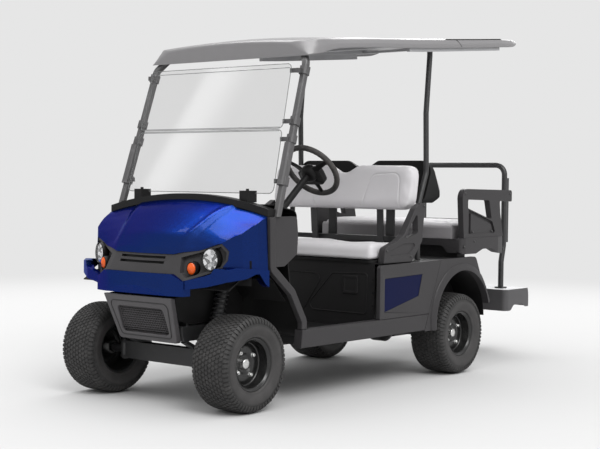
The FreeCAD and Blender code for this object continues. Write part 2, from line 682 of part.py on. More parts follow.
def front_bumper():
    """Blue bumper: creased crown and wings that sweep back above the wheels."""
    front = -FRONT_OVERHANG
    corner = front + BUMPER_SWEEP
    lean = BUMPER_SWEEP / 2
    profile = [(front + lean, BUMPER_LOW), (front, BUMPER_CREASE), (front + lean + PANEL, BUMPER_TOP),
               (BUMPER_BACK_Y, BUMPER_TOP), (BUMPER_BACK_Y, BUMPER_LOW)]
    crown = slab("X", profile, -BUMPER_HALF, BUMPER_HALF)
    low = BUMPER_LOW - OVERRUN
    arc = Part.Arc(Vector(-BUMPER_HALF, corner, low), Vector(0, front, low), Vector(BUMPER_HALF, corner, low))
    plan = Part.Face(Part.Wire([
        arc.toShape(),
        Part.makeLine(Vector(BUMPER_HALF, corner, low), Vector(BUMPER_HALF, BUMPER_BACK_Y, low)),
        Part.makeLine(Vector(BUMPER_HALF, BUMPER_BACK_Y, low), Vector(-BUMPER_HALF, BUMPER_BACK_Y, low)),
        Part.makeLine(Vector(-BUMPER_HALF, BUMPER_BACK_Y, low), Vector(-BUMPER_HALF, corner, low))]))
    crown = crown.common(plan.extrude(Vector(0, 0, BUMPER_TOP - BUMPER_LOW + 2 * OVERRUN)))
    band = strip("Z", WING_PATH, WING_WIDTH, BUMPER_LOW, HOOD_SKIRT[0][1])
    top = [(y, z - FIT) for y, z in HOOD_SKIRT[:-1]] + [(WING_END_Y + OVERRUN, HOOD_SKIRT[-1][1] - FIT)]
    side = WING_LOW + [(WING_END_Y + OVERRUN, WING_LOW[-1][1])] + top[::-1] + [(WING_LOW[0][0], top[0][1])]
    wing = band.common(slab("X", side, 0, BODY_HALF + OVERRUN)).cut(nose_solid(-FIT))
    for piece in both(wing):
        crown = crown.fuse(piece)
    pods = slab("Y", fascia_outline(FIT), front - OVERRUN, FACE_REAR_Y)
    bumper = crown.cut(pods).cut(grille_block(FIT)).removeSplitter()
    return max(bumper.Solids, key=lambda solid: solid.Volume)


GRILLE_TOP = 590.0
GRILLE_LOW = 344.0
GRILLE_TOP_Y = -262.0
GRILLE_LOW_Y = -172.0
GRILLE_TOP_HALF = 254.0
GRILLE_LOW_HALF = 217.0
GRILLE_DEPTH = 34.0
GRILLE_BORDER = 42.0
GRILLE_MESH = 8.0


def grille_block(grow):
    """Leaning block that the lower grille is cut from; grow moves its back face."""
    depth = GRILLE_DEPTH + grow
    profile = [(GRILLE_TOP_Y, GRILLE_TOP), (GRILLE_TOP_Y + depth, GRILLE_TOP),
               (GRILLE_LOW_Y + depth, GRILLE_LOW), (GRILLE_LOW_Y, GRILLE_LOW)]
    return slab("X", profile, -GRILLE_TOP_HALF, GRILLE_TOP_HALF)


def lower_grille():
    """Grey scoop below the bumper with a recessed mesh field."""
    body = grille_block(0)
    radius = GRILLE_BORDER / 2
    view = [(-GRILLE_TOP_HALF, GRILLE_TOP), (GRILLE_TOP_HALF, GRILLE_TOP),
            (GRILLE_LOW_HALF, GRILLE_LOW, radius), (-GRILLE_LOW_HALF, GRILLE_LOW, radius)]
    body = body.common(slab("Y", view, GRILLE_TOP_Y - OVERRUN, 0))
    top = GRILLE_TOP - GRILLE_BORDER * 3 / 2
    low = GRILLE_LOW + GRILLE_BORDER
    field = [(-GRILLE_TOP_HALF + 2 * GRILLE_BORDER, top, radius), (GRILLE_TOP_HALF - 2 * GRILLE_BORDER, top, radius),
             (GRILLE_LOW_HALF - GRILLE_BORDER, low, radius), (-GRILLE_LOW_HALF + GRILLE_BORDER, low, radius)]
    recess = slab("Y", field, GRILLE_TOP_Y - OVERRUN, 0)
    back = slab("X", [(GRILLE_TOP_Y + GRILLE_DEPTH - GRILLE_MESH, GRILLE_TOP),
                      (GRILLE_TOP_Y + 2 * GRILLE_DEPTH, GRILLE_TOP), (GRILLE_LOW_Y + 2 * GRILLE_DEPTH, GRILLE_LOW),
                      (GRILLE_LOW_Y + GRILLE_DEPTH - GRILLE_MESH, GRILLE_LOW)], -GRILLE_TOP_HALF, GRILLE_TOP_HALF)
    return body.cut(recess.cut(back)).removeSplitter()


# Inner fenders, cowl and dash

LINER_INNER = 243.0
LINER_OUTER = BODY_HALF - 68.0
LINER_TOP = 690.0
PILLAR_INNER = BODY_HALF - 42.0
PILLAR_OUTER = BODY_HALF - 8.0
PILLAR_WIDTH = 44.0
COWL_SIDE = 1014.0
PILLAR_MARKS = [(130.0, COWL_SIDE), (136.0, 744.0, 30.0), (300.0, 612.0, 30.0), (400.0, 450.0, 30.0),
                (400.0, SILL_TOP + FIT)]
SHIELD_INNER = BODY_HALF - 44.0
DASH_HALF = SHIELD_INNER - FIT
COWL_CROWN = 1092.0
COWL_HALF = BODY_HALF - 24.0
DASH_TOP = COWL_CROWN - 10.0
DASH_REAR_Y = 372.0
DASH_KNEE_Y = 350.0
DASH_KNEE_Z = 900.0
DASH_FOOT_Y = 346.0
COWL_Y = HOOD_REAR_Y + FIT
COWL_DEPTH = 60.0
COWL_BAND = 38.0


REAR_LINER_INNER = 380.0
LINER_ROOF_MARKS = [(-140.0, 640.0), (-60.0, LINER_TOP), (190.0, LINER_TOP), (306.0, 560.0)]
LINER_WALL_MARKS = [(-160.0, 596.0), (-222.0, 590.0), (-192.0, 470.0), (-120.0, 450.0), (310.0, 450.0)]
LINER_BEND = 40.0


def rear_arch(radius, low_x, high_x):
    """Upper half of a round block about the rear arch's centre."""
    centre = Vector(low_x, ARCH_Y, ARCH_Z)
    round_block = rod(centre, centre + Vector(high_x - low_x, 0, 0), radius)
    return round_block.common(box(low_x, high_x, ARCH_Y - radius, ARCH_Y + radius, ARCH_Z, ARCH_Z + radius))


def wheel_liners():
    """Roof and inner wall over each front wheel, arched shell over each rear wheel."""
    top = strip("X", [(y, z, LINER_BEND) for y, z in LINER_ROOF_MARKS], PANEL, LINER_INNER, LINER_OUTER)
    wall = slab("X", LINER_ROOF_MARKS[::-1] + LINER_WALL_MARKS, LINER_INNER, LINER_INNER + PANEL)
    front = top.fuse(wall).cut(frame()).cut(lower_grille()).cut(front_bumper())
    rear = rear_arch(FENDER_ARCH + PANEL, REAR_LINER_INNER, SIDE_INNER - FIT)
    rear = rear.cut(rear_arch(FENDER_ARCH, REAR_LINER_INNER + PANEL, SIDE_INNER))
    return both(max(front.removeSplitter().Solids, key=lambda solid: solid.Volume)) + both(rear)


def cowl_pillars():
    """Body corner members from the hood's rear edge down to the sills."""
    return both(strip("X", PILLAR_MARKS, PILLAR_WIDTH, PILLAR_INNER, PILLAR_OUTER))


def dash():
    """Black cowl band under the windscreen and the dash shell behind it."""
    shapes = []
    low, high = COWL_Y, COWL_Y + COWL_DEPTH
    corners = []
    for z_side, z_crown in ((STRUT_BASE_Z, COWL_CROWN), (STRUT_BASE_Z + COWL_BAND, COWL_CROWN + COWL_BAND)):
        corners.append(Part.Arc(Vector(-COWL_HALF, low, z_side), Vector(0, low, z_crown),
                                Vector(COWL_HALF, low, z_side)).toShape())
    ends = [Part.makeLine(corners[0].Vertexes[-1].Point, corners[1].Vertexes[-1].Point),
            Part.makeLine(corners[0].Vertexes[0].Point, corners[1].Vertexes[0].Point)]
    band = Part.Face(Part.Wire(Part.__sortEdges__(corners + ends))).extrude(Vector(0, high - low, 0))
    shapes.append(band)
    path = [(high, DASH_TOP - PANEL), (DASH_REAR_Y, DASH_TOP - 2 * OVERRUN, 2 * OVERRUN),
            (DASH_KNEE_Y, DASH_KNEE_Z, 2 * OVERRUN), (DASH_FOOT_Y, TOE_TOP_Z + 2 * OVERRUN, OVERRUN),
            (TOE_TOP_Y, TOE_TOP_Z)]
    shell = strip("X", path, PANEL, -DASH_HALF, DASH_HALF)
    shell = shapes[0].fuse(shell).cut(floor_pan()).cut(steering_column())
    for passage in both(bar([strut_at(COWL_SIDE - 2 * COWL_DEPTH), strut_at(DASH_TOP + COWL_DEPTH)],
                            STRUT_WIDTH + 2 * FIT, STRUT_BEND)):
        shell = shell.cut(passage)
    return [max(shell.removeSplitter().Solids, key=lambda solid: solid.Volume)]


STRUT_BASE_Z = 1016.0
SHIELD_OUTER = BODY_HALF - 20.0
SHIELD_FRONT = PILLAR_WIDTH / 2 + FIT
SHIELD_LOW = 752.0
SHIELD_MARKS = [(PILLAR_MARKS[0][0] + SHIELD_FRONT, STRUT_BASE_Z - FIT), (340.0, STRUT_BASE_Z - FIT, 25.0),
                (352.0, 916.0), (344.0, 814.0, 25.0), (240.0, SHIELD_LOW, 20.0),
                (PILLAR_MARKS[1][0] + SHIELD_FRONT, SHIELD_LOW)]


def cowl_side_shields():
    """Moulded cheek panels at the ends of the dash."""
    return both(slab("X", SHIELD_MARKS, SHIELD_INNER, SHIELD_OUTER).cut(cowl_pillars()[0]))


# Windscreen and its struts

STRUT_WIDTH = 36.0
STRUT_BEND = 60.0
STRUT_FOOT = Vector(BODY_HALF - 22.0, 177.0, STRUT_BASE_Z)
STRUT_TOP = Vector(BODY_HALF - 50.0, 440.0, 1842.0)
ROOF_RAIL_X = 500.0
STRUT_EAVE = Vector(ROOF_RAIL_X, 496.0, 1930.0)
SCREEN_LOW_HALF = BODY_HALF - 64.0
SCREEN_TOP_HALF = BODY_HALF - 90.0
SCREEN_WALL = 5.0
SCREEN_LOW = 1134.0
SCREEN_FOLD = 1481.0
SCREEN_TOP = 1838.0
SCREEN_FOOT_Y = 192.0
SCREEN_HEAD_Y = 369.0
SCREEN_CORNER = 30.0
SLEEVE_WIDTH = 42.0
SLEEVE_OFFSET = 14.0
SLEEVE_LOW = 1180.0
SLEEVE_HIGH = 1404.0
CLAMP_WIDTH = 48.0
CLAMP_HEIGHT = 44.0
CLAMP_PLACES = [1180.0, 1404.0, 1500.0, 1776.0]
CLAMP_EAR = 12.0
CLAMP_GRIP = 18.0
CLIP_X = 402.0
CLIP_HALF = 40.0
CLIP_FRONT_Y = 130.0
CLIP_REAR_Y = 206.0
CLIP_LOW = 1088.0
CLIP_TOP = 1150.0


def strut_at(z):
    """Point on the straight part of the front strut at a height."""
    run = STRUT_TOP - STRUT_FOOT
    return STRUT_FOOT + run * ((z - STRUT_FOOT.z) / run.z)


def screen_y(z):
    """Front face of the windscreen at a height."""
    share = (z - SCREEN_LOW) / (SCREEN_TOP - SCREEN_LOW)
    return SCREEN_FOOT_Y + (SCREEN_HEAD_Y - SCREEN_FOOT_Y) * share


def front_struts():
    """Square roof struts beside the windscreen with a long sleeve and clamps."""
    foot = strut_at(STRUT_FOOT.z - STRUT_WIDTH)
    tube = bar([foot, STRUT_TOP, STRUT_EAVE], STRUT_WIDTH, STRUT_BEND)
    forward = Vector(0, -SLEEVE_OFFSET, 0)
    tube = tube.fuse(bar([strut_at(SLEEVE_LOW) + forward, strut_at(SLEEVE_HIGH) + forward], SLEEVE_WIDTH, STRUT_BEND))
    for z in CLAMP_PLACES:
        tube = tube.fuse(bar([strut_at(z), strut_at(z + CLAMP_HEIGHT)], CLAMP_WIDTH, STRUT_BEND))
        low = z + CLAMP_HEIGHT / 2 - CLAMP_EAR
        high = z + CLAMP_HEIGHT / 2 + CLAMP_EAR
        back = screen_y(high) + 2 * SCREEN_WALL
        ear = box(screen_half(high) - CLAMP_GRIP, strut_at(z).x, back, back + CLAMP_EAR, low, high)
        link = box(strut_at(z).x - CLAMP_WIDTH / 2, strut_at(z).x, back, strut_at(z).y, low, high)
        tube = tube.fuse(ear).fuse(link)
    below = box(0, BODY_HALF, 0, POD_FRONT_Y, 0, STRUT_FOOT.z)
    return both(tube.cut(below).cut(strut_rails()[0]).removeSplitter())


def pane(low, high, half_low, half_high):
    """Flat clear pane leaning beside the struts."""
    lean = math.atan2(SCREEN_HEAD_Y - SCREEN_FOOT_Y, SCREEN_TOP - SCREEN_LOW)
    length = (high - low) / math.cos(lean)
    outline = [(-half_low, 0, SCREEN_CORNER), (half_low, 0, SCREEN_CORNER),
               (half_high, length, SCREEN_CORNER), (-half_high, length, SCREEN_CORNER)]
    sheet = slab("Y", outline, 0, SCREEN_WALL)
    sheet.rotate(Vector(0, 0, 0), Vector(1, 0, 0), -math.degrees(lean))
    sheet.translate(Vector(0, screen_y(low), low))
    return sheet


def screen_half(z):
    """Half width of the windscreen at a height."""
    share = (z - SCREEN_LOW) / (SCREEN_TOP - SCREEN_LOW)
    return SCREEN_LOW_HALF + (SCREEN_TOP_HALF - SCREEN_LOW_HALF) * share


def windshield_clips():
    """Rubber clips that hold the lower pane's edge on the cowl."""
    glass = pane(SCREEN_LOW, SCREEN_FOLD, SCREEN_LOW_HALF, screen_half(SCREEN_FOLD))
    block = box(CLIP_X - CLIP_HALF, CLIP_X + CLIP_HALF, CLIP_FRONT_Y, CLIP_REAR_Y, CLIP_LOW, CLIP_TOP)
    knob = rod(Vector(CLIP_X, (CLIP_FRONT_Y + screen_y(CLIP_TOP)) / 2, CLIP_TOP - PANEL),
               Vector(CLIP_X, (CLIP_FRONT_Y + screen_y(CLIP_TOP)) / 2, CLIP_TOP + 2 * PANEL), 2 * PANEL)
    clip = block.fuse(knob).cut(glass).cut(dash()[0])
    return both(max(clip.removeSplitter().Solids, key=lambda solid: solid.Volume))


# Steering

COLUMN_X = 256.0
WHEEL_CENTRE = Vector(COLUMN_X, 890.0, 1266.0)
COLUMN_RUN = Vector(0, 284.0, 233.0)
COLUMN_FOOT = Vector(COLUMN_X, 352.0, 813.5)
WHEEL_RING = 168.0
WHEEL_GRIP = 14.0
COLUMN_RADIUS = 20.0
HUB_DISC = 52.0
HUB_DEPTH = 60.0
SPOKE_ANGLES = [90.0, 210.0, 330.0]


def steering_column():
    """Column shroud from the dash to just under the steering wheel."""
    way = Vector(COLUMN_RUN).normalize()
    top = WHEEL_CENTRE - way * (HUB_DEPTH + FIT)
    lower = COLUMN_FOOT + (top - COLUMN_FOOT) * 0.5
    return rod(COLUMN_FOOT, top, COLUMN_RADIUS).fuse(
        rod(COLUMN_FOOT, lower, COLUMN_RADIUS + 2 * PANEL)).removeSplitter()


def steering_wheel():
    """Ring, three spokes and a hub block on the column's axis."""
    way = Vector(COLUMN_RUN).normalize()
    ring = Part.makeTorus(WHEEL_RING, WHEEL_GRIP, WHEEL_CENTRE, way)
    hub = rod(WHEEL_CENTRE - way * HUB_DEPTH, WHEEL_CENTRE, HUB_DISC)
    across = Vector(1, 0, 0)
    up = way.cross(across)
    wheel = ring.fuse(hub)
    for angle in SPOKE_ANGLES:
        turn = math.radians(angle)
        way_out = across * math.cos(turn) + up * math.sin(turn)
        start = WHEEL_CENTRE - way * WHEEL_GRIP
        wheel = wheel.fuse(rod(start, WHEEL_CENTRE + way_out * WHEEL_RING, WHEEL_GRIP - PANEL))
    return wheel.removeSplitter()


# Seat pod, body sides and rear fenders

POD_HALF = BODY_HALF - 30.0
POD_REAR_Y = 2090.0
PEDESTAL_HALF = 560.0
PEDESTAL_FRONT_Y = 2000.0
WELL_HALF = 470.0
WELL_FRONT_Y = 1170.0
WELL_REAR_Y = 1470.0
SIDE_INNER = BODY_HALF - 28.0
SIDE_FRONT_Y = 1083.0
SIDE_LOW = SILL_TOP + FIT
INSERT_DEPTH = 8.0
INSERT_MARKS = [(1130.0, 640.0), (1520.0, 650.0), (1480.0, 520.0), (1130.0, 446.0)]
FENDER_ARCH = 308.0
ARCH_Y = REAR_Y + 10.0
ARCH_Z = AXLE_Z + 91.0
FENDER_TOP_Y = 2128.0
FENDER_FLARE = 18.0
FLARE_WIDTH = 46.0
FLARE_LIP = 16.0
FENDER_LEG_Y = 1640.0
FENDER_TIP = (2280.0, 441.0)
BATTERY_HALF = 400.0
BATTERY_FRONT_Y = 1180.0
BATTERY_REAR_Y = 1460.0
BATTERY_TOP = 690.0


def battery_pack():
    """Plain block of batteries on the frame under the front seat."""
    return box(-BATTERY_HALF, BATTERY_HALF, BATTERY_FRONT_Y, BATTERY_REAR_Y,
               FLOOR_TOP - FLOOR_SKIN + FIT, BATTERY_TOP)


def seat_pod():
    """Kick panel, deck with the battery well, and the rear wall."""
    kick = box(-SILL_INNER + FIT, SILL_INNER - FIT, POD_FRONT_Y, POD_FRONT_Y + PANEL, FLOOR_TOP, BELT_HEIGHT)
    deck = box(-POD_HALF, POD_HALF, POD_FRONT_Y, POD_REAR_Y, BELT_HEIGHT - PANEL, BELT_HEIGHT)
    well = box(-WELL_HALF, WELL_HALF, WELL_FRONT_Y, WELL_REAR_Y, BELT_HEIGHT - OVERRUN, BELT_HEIGHT + OVERRUN)
    low = REAR_ARCH_Z + RAIL_HEIGHT / 2 + FIT
    wall = box(-POD_HALF, POD_HALF, POD_REAR_Y - PANEL, POD_REAR_Y, low, BELT_HEIGHT)
    for arch in both(rear_arch(FENDER_ARCH + PANEL + FIT, REAR_LINER_INNER - FIT, POD_HALF + OVERRUN)):
        wall = wall.cut(arch)
    top = TRAY_TOP - 2 * OVERRUN - TRAY_FLOOR - FIT
    pedestal = box(-PEDESTAL_HALF, PEDESTAL_HALF, PEDESTAL_FRONT_Y, POD_REAR_Y, BELT_HEIGHT - PANEL, top)
    pedestal = pedestal.cut(box(PANEL - PEDESTAL_HALF, PEDESTAL_HALF - PANEL, PEDESTAL_FRONT_Y + PANEL, POD_REAR_Y - PANEL,
                                BELT_HEIGHT - 2 * PANEL, top + PANEL))
    return kick.fuse(deck.cut(well)).fuse(wall).fuse(pedestal).removeSplitter()


def side_outline():
    """Side view of the body side panel between sill, belt and seam."""
    return [(SIDE_FRONT_Y, BELT_HEIGHT - 2 * PANEL, OVERRUN), (seam_y(BELT_HEIGHT) - FIT, BELT_HEIGHT),
            (seam_y(SIDE_LOW) - FIT, SIDE_LOW), (SIDE_FRONT_Y, SIDE_LOW)]


def side_panels():
    """Body sides with a recess for the blue insert."""
    panel = slab("X", side_outline(), SIDE_INNER, BODY_HALF)
    recess = slab("X", INSERT_MARKS, BODY_HALF - INSERT_DEPTH, BODY_HALF + OVERRUN)
    return both(panel.cut(recess))


def side_inserts():
    """Flat blue inserts seated in the side recesses."""
    floor = BODY_HALF - INSERT_DEPTH + FIT
    return both(slab("X", INSERT_MARKS, floor, floor + INSERT_DEPTH / 2))


def rear_fenders():
    """Rear fender with a round arch and a raised flare round the wheel."""
    outline = [(seam_y(BELT_HEIGHT), BELT_HEIGHT), (FENDER_TOP_Y, BELT_HEIGHT + PANEL, 2 * OVERRUN),
               FENDER_TIP, (FENDER_TIP[0] - OVERRUN, FENDER_TIP[1] - OVERRUN),
               (ARCH_Y, ARCH_Z), (FENDER_LEG_Y, SEAM_LOW_Z), (seam_y(SEAM_LOW_Z), SEAM_LOW_Z)]
    skin = slab("X", outline, SIDE_INNER, BODY_HALF)
    centre = Vector(0, ARCH_Y, ARCH_Z)
    rim_out = BODY_HALF + FENDER_FLARE
    ring = turned([(BODY_HALF - PANEL, FENDER_ARCH), (rim_out, FENDER_ARCH), (rim_out, FENDER_ARCH + FLARE_LIP),
                   (BODY_HALF + FENDER_FLARE / 3, FENDER_ARCH + FLARE_WIDTH - PANEL),
                   (BODY_HALF - PANEL, FENDER_ARCH + FLARE_WIDTH)], centre, 1)
    flare = slab("X", outline, BODY_HALF - PANEL, rim_out).common(ring)
    body = skin.fuse(flare)
    body = body.cut(rod(centre, centre + Vector(BODY_HALF + 2 * OVERRUN, 0, 0), FENDER_ARCH))
    return both(max(body.removeSplitter().Solids, key=lambda solid: solid.Volume))


# Front seat, hip restraints and seat supports

SEAT_HALF = BODY_HALF - 68.0
SEAT_FRONT_Y = 1079.0
SEAT_REAR_Y = 1496.0
SEAT_BASE = 16.0
SEAT_CORNER = 45.0
HINGE_Y = 1500.0
HINGE_RADIUS = 8.0
HINGE_LENGTH = 60.0
HINGE_X = 300.0
BASE_LOW = BELT_HEIGHT + FIT
BACK_FOOT_Y = 1465.0
BACK_LOW = 1025.0
BACK_TOP = 1316.0
BACK_THICK = 92.0
BACK_LEAN = 45.0
BACK_CORNER = 75.0
BACK_EDGE = 30.0
DIP_HALF = 30.0
DIP_RUN = 85.0
DIP_DEPTH = 52.0
DIP_BEND = 60.0


def front_seat_base():
    """Moulded board under the front cushion with two hinge barrels."""
    board = slab("Z", [(-SEAT_HALF, SEAT_FRONT_Y + OVERRUN, SEAT_CORNER), (SEAT_HALF, SEAT_FRONT_Y + OVERRUN, SEAT_CORNER),
                       (SEAT_HALF, SEAT_REAR_Y - OVERRUN, OVERRUN), (-SEAT_HALF, SEAT_REAR_Y - OVERRUN, OVERRUN)],
                 BASE_LOW, BASE_LOW + SEAT_BASE)
    for x in (HINGE_X, -HINGE_X):
        centre = Vector(x - HINGE_LENGTH / 2, HINGE_Y, BASE_LOW + HINGE_RADIUS)
        board = board.fuse(rod(centre, centre + Vector(HINGE_LENGTH, 0, 0), HINGE_RADIUS))
        board = board.fuse(box(centre.x, centre.x + HINGE_LENGTH, SEAT_REAR_Y - 2 * OVERRUN, HINGE_Y,
                               BASE_LOW + HINGE_RADIUS / 2, BASE_LOW + HINGE_RADIUS))
    return board.removeSplitter()


def front_seat_cushion():
    """Plain front cushion with rounded front corners."""
    low = BASE_LOW + SEAT_BASE + FIT
    plan = slab("Z", [(-SEAT_HALF, SEAT_FRONT_Y, SEAT_CORNER), (SEAT_HALF, SEAT_FRONT_Y, SEAT_CORNER),
                      (SEAT_HALF, SEAT_REAR_Y, OVERRUN), (-SEAT_HALF, SEAT_REAR_Y, OVERRUN)], low, SEAT_TOP)
    side = slab("X", [(SEAT_FRONT_Y, low), (SEAT_REAR_Y, low), (SEAT_REAR_Y, SEAT_TOP - OVERRUN, OVERRUN),
                      (SEAT_FRONT_Y, SEAT_TOP, SEAT_CORNER)], -SEAT_HALF, SEAT_HALF)
    return plan.common(side)


def back_view(low, top, half, low_y, high_y):
    """Front view block of a back: rounded corners and a dip in the top edge."""
    outer = DIP_HALF + DIP_RUN
    right = [(half, low, BACK_CORNER), (half, top, BACK_CORNER), (outer, top, DIP_BEND),
             (DIP_HALF, top - DIP_DEPTH, DIP_BEND)]
    left = [(-x, z, radius) for x, z, radius in right[::-1]]
    return slab("Y", right + left, low_y, high_y)


def front_seat_back():
    """Leaning back pad whose top edge dips between two humps."""
    side = [(BACK_FOOT_Y, BACK_LOW, BACK_EDGE), (BACK_FOOT_Y + BACK_THICK, BACK_LOW, BACK_EDGE),
            (BACK_FOOT_Y + BACK_THICK + BACK_LEAN, BACK_TOP, BACK_EDGE),
            (BACK_FOOT_Y + BACK_LEAN, BACK_TOP, BACK_EDGE)]
    view = back_view(BACK_LOW, BACK_TOP, SEAT_HALF, BACK_FOOT_Y - OVERRUN,
                     BACK_FOOT_Y + BACK_THICK + BACK_LEAN + OVERRUN)
    return slab("X", side, -SEAT_HALF, SEAT_HALF).common(view)


RESTRAINT_GAP = 8.0
RESTRAINT_DEPTH = 42.0
RESTRAINT_INNER = SEAT_HALF + RESTRAINT_GAP
RESTRAINT_OUTER = RESTRAINT_INNER + RESTRAINT_DEPTH
RESTRAINT_MARKS = [(1140.0, BELT_HEIGHT + FIT), (1430.0, BELT_HEIGHT + FIT), (1538.0, 850.0, 40.0),
                   (1546.0, 930.0, 60.0), (1562.0, 1074.0, 10.0), (1526.0, 1078.0, 16.0), (1461.0, 1044.0, 30.0),
                   (1344.0, 893.0, 60.0), (1279.0, 857.0, 40.0), (1151.0, 816.0, 25.0)]
RESTRAINT_HOLE = [(1346.0, 866.0, 8.0), (1482.0, 1020.0, 10.0), (1492.0, 900.0, 16.0)]
RESTRAINT_PANEL = [(1190.0, 770.0, 10.0), (1405.0, 776.0, 20.0), (1490.0, 840.0, 16.0), (1340.0, 838.0, 30.0),
                   (1200.0, 800.0, 10.0)]
RESTRAINT_RECESS = 6.0


def hip_restraints():
    """Moulded loop beside each end of the front seat."""
    loop = slab("X", RESTRAINT_MARKS, RESTRAINT_INNER, RESTRAINT_OUTER)
    hole = slab("X", RESTRAINT_HOLE, RESTRAINT_INNER - OVERRUN, RESTRAINT_OUTER + OVERRUN)
    panel = slab("X", RESTRAINT_PANEL, RESTRAINT_OUTER - RESTRAINT_RECESS, RESTRAINT_OUTER + OVERRUN)
    return both(loop.cut(hole).cut(panel))


REAR_STRUT_X = 500.0
REAR_STRUT_RADIUS = 17.0
REAR_STRUT_MARKS = [(1636.0, BELT_HEIGHT + FIT), (1636.0, 1060.0), (1722.0, 1265.0), (1711.0, 1633.0),
                    (1744.0, 1985.0), (1744.0, 2140.0)]
BRACKET_X = 260.0
BRACKET_WIDTH = 44.0
BRACKET_WALL = 12.0
SUPPORT_TUBE = 30.0
POST_FOOT_Y = 1580.0
POST_RISE = 140.0
SUPPORT_LOW = 850.0
SUPPORT_HIGH = 1170.0
STAY_X = 231.0
STAY_WIDTH = 62.0
STAY_Y = 1727.0
STAY_FOOT = 60.0
SHELL_HALF = SEAT_HALF - 32.0
SHELL_MARKS = [(1745.0, 1340.0, 2.0), (1742.0, 1260.0), (1670.0, 1078.0, 6.0), (1800.0, 1076.0, 20.0),
               (1850.0, 1112.0, 12.0), (1847.0, 1150.0, 12.0), (1756.0, 1340.0, 2.0)]
REAR_BACK_MARKS = [(1752.0, 1340.0), (1772.0, 1342.0, 8.0), (1818.0, 1316.0, 24.0), (1887.0, 1210.0, 60.0),
                   (1919.0, 1137.0, 26.0), (1884.0, 1097.0, 22.0), (1825.0, 1082.0, 8.0), (1800.0, 1082.0)]


def rear_struts():
    """Rear roof struts, cross tubes, posts of the front back and stays of the rear shell."""
    marks = [Vector(REAR_STRUT_X, y, z) for y, z in REAR_STRUT_MARKS]
    rails = strut_rails()[0]
    above = slab("X", rail_path(ROOF_RAIL_START, ROOF_RAIL_END, RAIL_RISE)
                 + [(ROOF_RAIL_END, 2 * SUPPORT_HIGH), (ROOF_RAIL_START, 2 * SUPPORT_HIGH)], 0, BODY_HALF)
    left, right = both(pipe(marks, REAR_STRUT_RADIUS, STRUT_BEND).cut(above).cut(rails))
    tree = left.fuse(right)
    half = SUPPORT_TUBE / 2
    (y0, z0), (y1, z1) = SHELL_MARKS[1][:2], SHELL_MARKS[2][:2]
    high_y = y1 + (y0 - y1) * (SUPPORT_HIGH - half - z1) / (z0 - z1) - half - FIT
    for y, z in ((REAR_STRUT_MARKS[1][0], SUPPORT_LOW), (high_y, SUPPORT_HIGH)):
        tree = tree.fuse(box(-REAR_STRUT_X, REAR_STRUT_X, y - half, y + half, z - half, z + half))
    rise = (SUPPORT_HIGH - BACK_LOW) / (BACK_TOP - BACK_LOW)
    foot = BACK_FOOT_Y + BACK_THICK + BRACKET_WALL / 2 + FIT
    grip = BACK_LOW + BACK_THICK / 2
    meet = foot + BACK_LEAN * (grip - BACK_LOW) / (BACK_TOP - BACK_LOW)
    post = strip("X", [(POST_FOOT_Y, BELT_HEIGHT + FIT), (POST_FOOT_Y, BELT_HEIGHT + POST_RISE, STRUT_BEND),
                       (meet, grip, STRUT_BEND), (foot + BACK_LEAN * rise, SUPPORT_HIGH)],
                 BRACKET_WALL, BRACKET_X - BRACKET_WIDTH / 2, BRACKET_X + BRACKET_WIDTH / 2)
    tie = box(BRACKET_X - BRACKET_WIDTH / 2, BRACKET_X + BRACKET_WIDTH / 2, foot + BACK_LEAN * rise,
              high_y, SUPPORT_HIGH - half, SUPPORT_HIGH - half + BRACKET_WALL)
    for piece in both(post.fuse(tie)):
        tree = tree.fuse(piece)
    stay = strip("X", [(STAY_Y + STAY_FOOT, BELT_HEIGHT + FIT + BRACKET_WALL / 2),
                       (STAY_Y, BELT_HEIGHT + FIT + BRACKET_WALL / 2, BRACKET_WALL), (STAY_Y, SHELL_MARKS[3][1])],
                 BRACKET_WALL, STAY_X - STAY_WIDTH / 2, STAY_X + STAY_WIDTH / 2)
    return [tree.removeSplitter()] + both(stay.cut(rear_back_shell()))


def rear_back_shell():
    """Moulded wedge behind the rear back cushion with the same dip in its top."""
    depth = [mark[0] for mark in SHELL_MARKS]
    view = back_view(SHELL_MARKS[3][1] - OVERRUN, SHELL_MARKS[0][1], SHELL_HALF, min(depth), max(depth))
    return slab("X", SHELL_MARKS, -SHELL_HALF, SHELL_HALF).common(view)


def rear_back_cushion():
    """Rear back pad that rests against the shell."""
    half = SHELL_HALF - REAR_BACK_INSET
    depth = [mark[0] for mark in REAR_BACK_MARKS]
    view = back_view(REAR_BACK_MARKS[6][1], REAR_BACK_MARKS[1][1], half, min(depth), max(depth))
    pad = slab("X", REAR_BACK_MARKS, -half, half).cut(rear_back_shell()).common(view)
    return max(pad.Solids, key=lambda solid: solid.Volume)


# Rear bench: tray, cushion, shell, armrests

TRAY_OUTER = BODY_HALF - 2.0
TRAY_WALL = 50.0
TRAY_FRONT_Y = 1972.0
TRAY_REAR_Y = 2509.0
TRAY_CHAMFER_Y = 2404.0
TRAY_CHAMFER = 30.0
TRAY_CORNER = 40.0
TRAY_LOW = 752.0
TRAY_REAR_LOW = 738.0
TRAY_ARCH_RISE = 28.0
TRAY_ARCH_MARKS = [(2132.0, 60.0), (2212.0, 80.0), (2322.0, 80.0), (2400.0, 60.0)]
SKIRT_WALL = 6.0
SKIRT_TOP = 847.0
SKIRT_LOW = 758.0
SKIRT_ARCH_TOP = 803.0
SKIRT_ARCH = [(500.0, 24.0), (462.0, 40.0)]
REAR_SEAT_HALF = TRAY_OUTER - 98.0
REAR_SEAT_FRONT_Y = 1985.0
REAR_HINGE_Y = 2440.0
REAR_PAN_TOP = 930.0
REAR_PAN_WALL = 12.0
REAR_PAN_FLOOR = 880.0
REAR_SEAT_TOP = 958.0
DECK_BOARD = 14.0
REAR_BACK_INSET = 15.0
ARM_OUTER = TRAY_OUTER - 2.0
ARM_DEPTH = 40.0
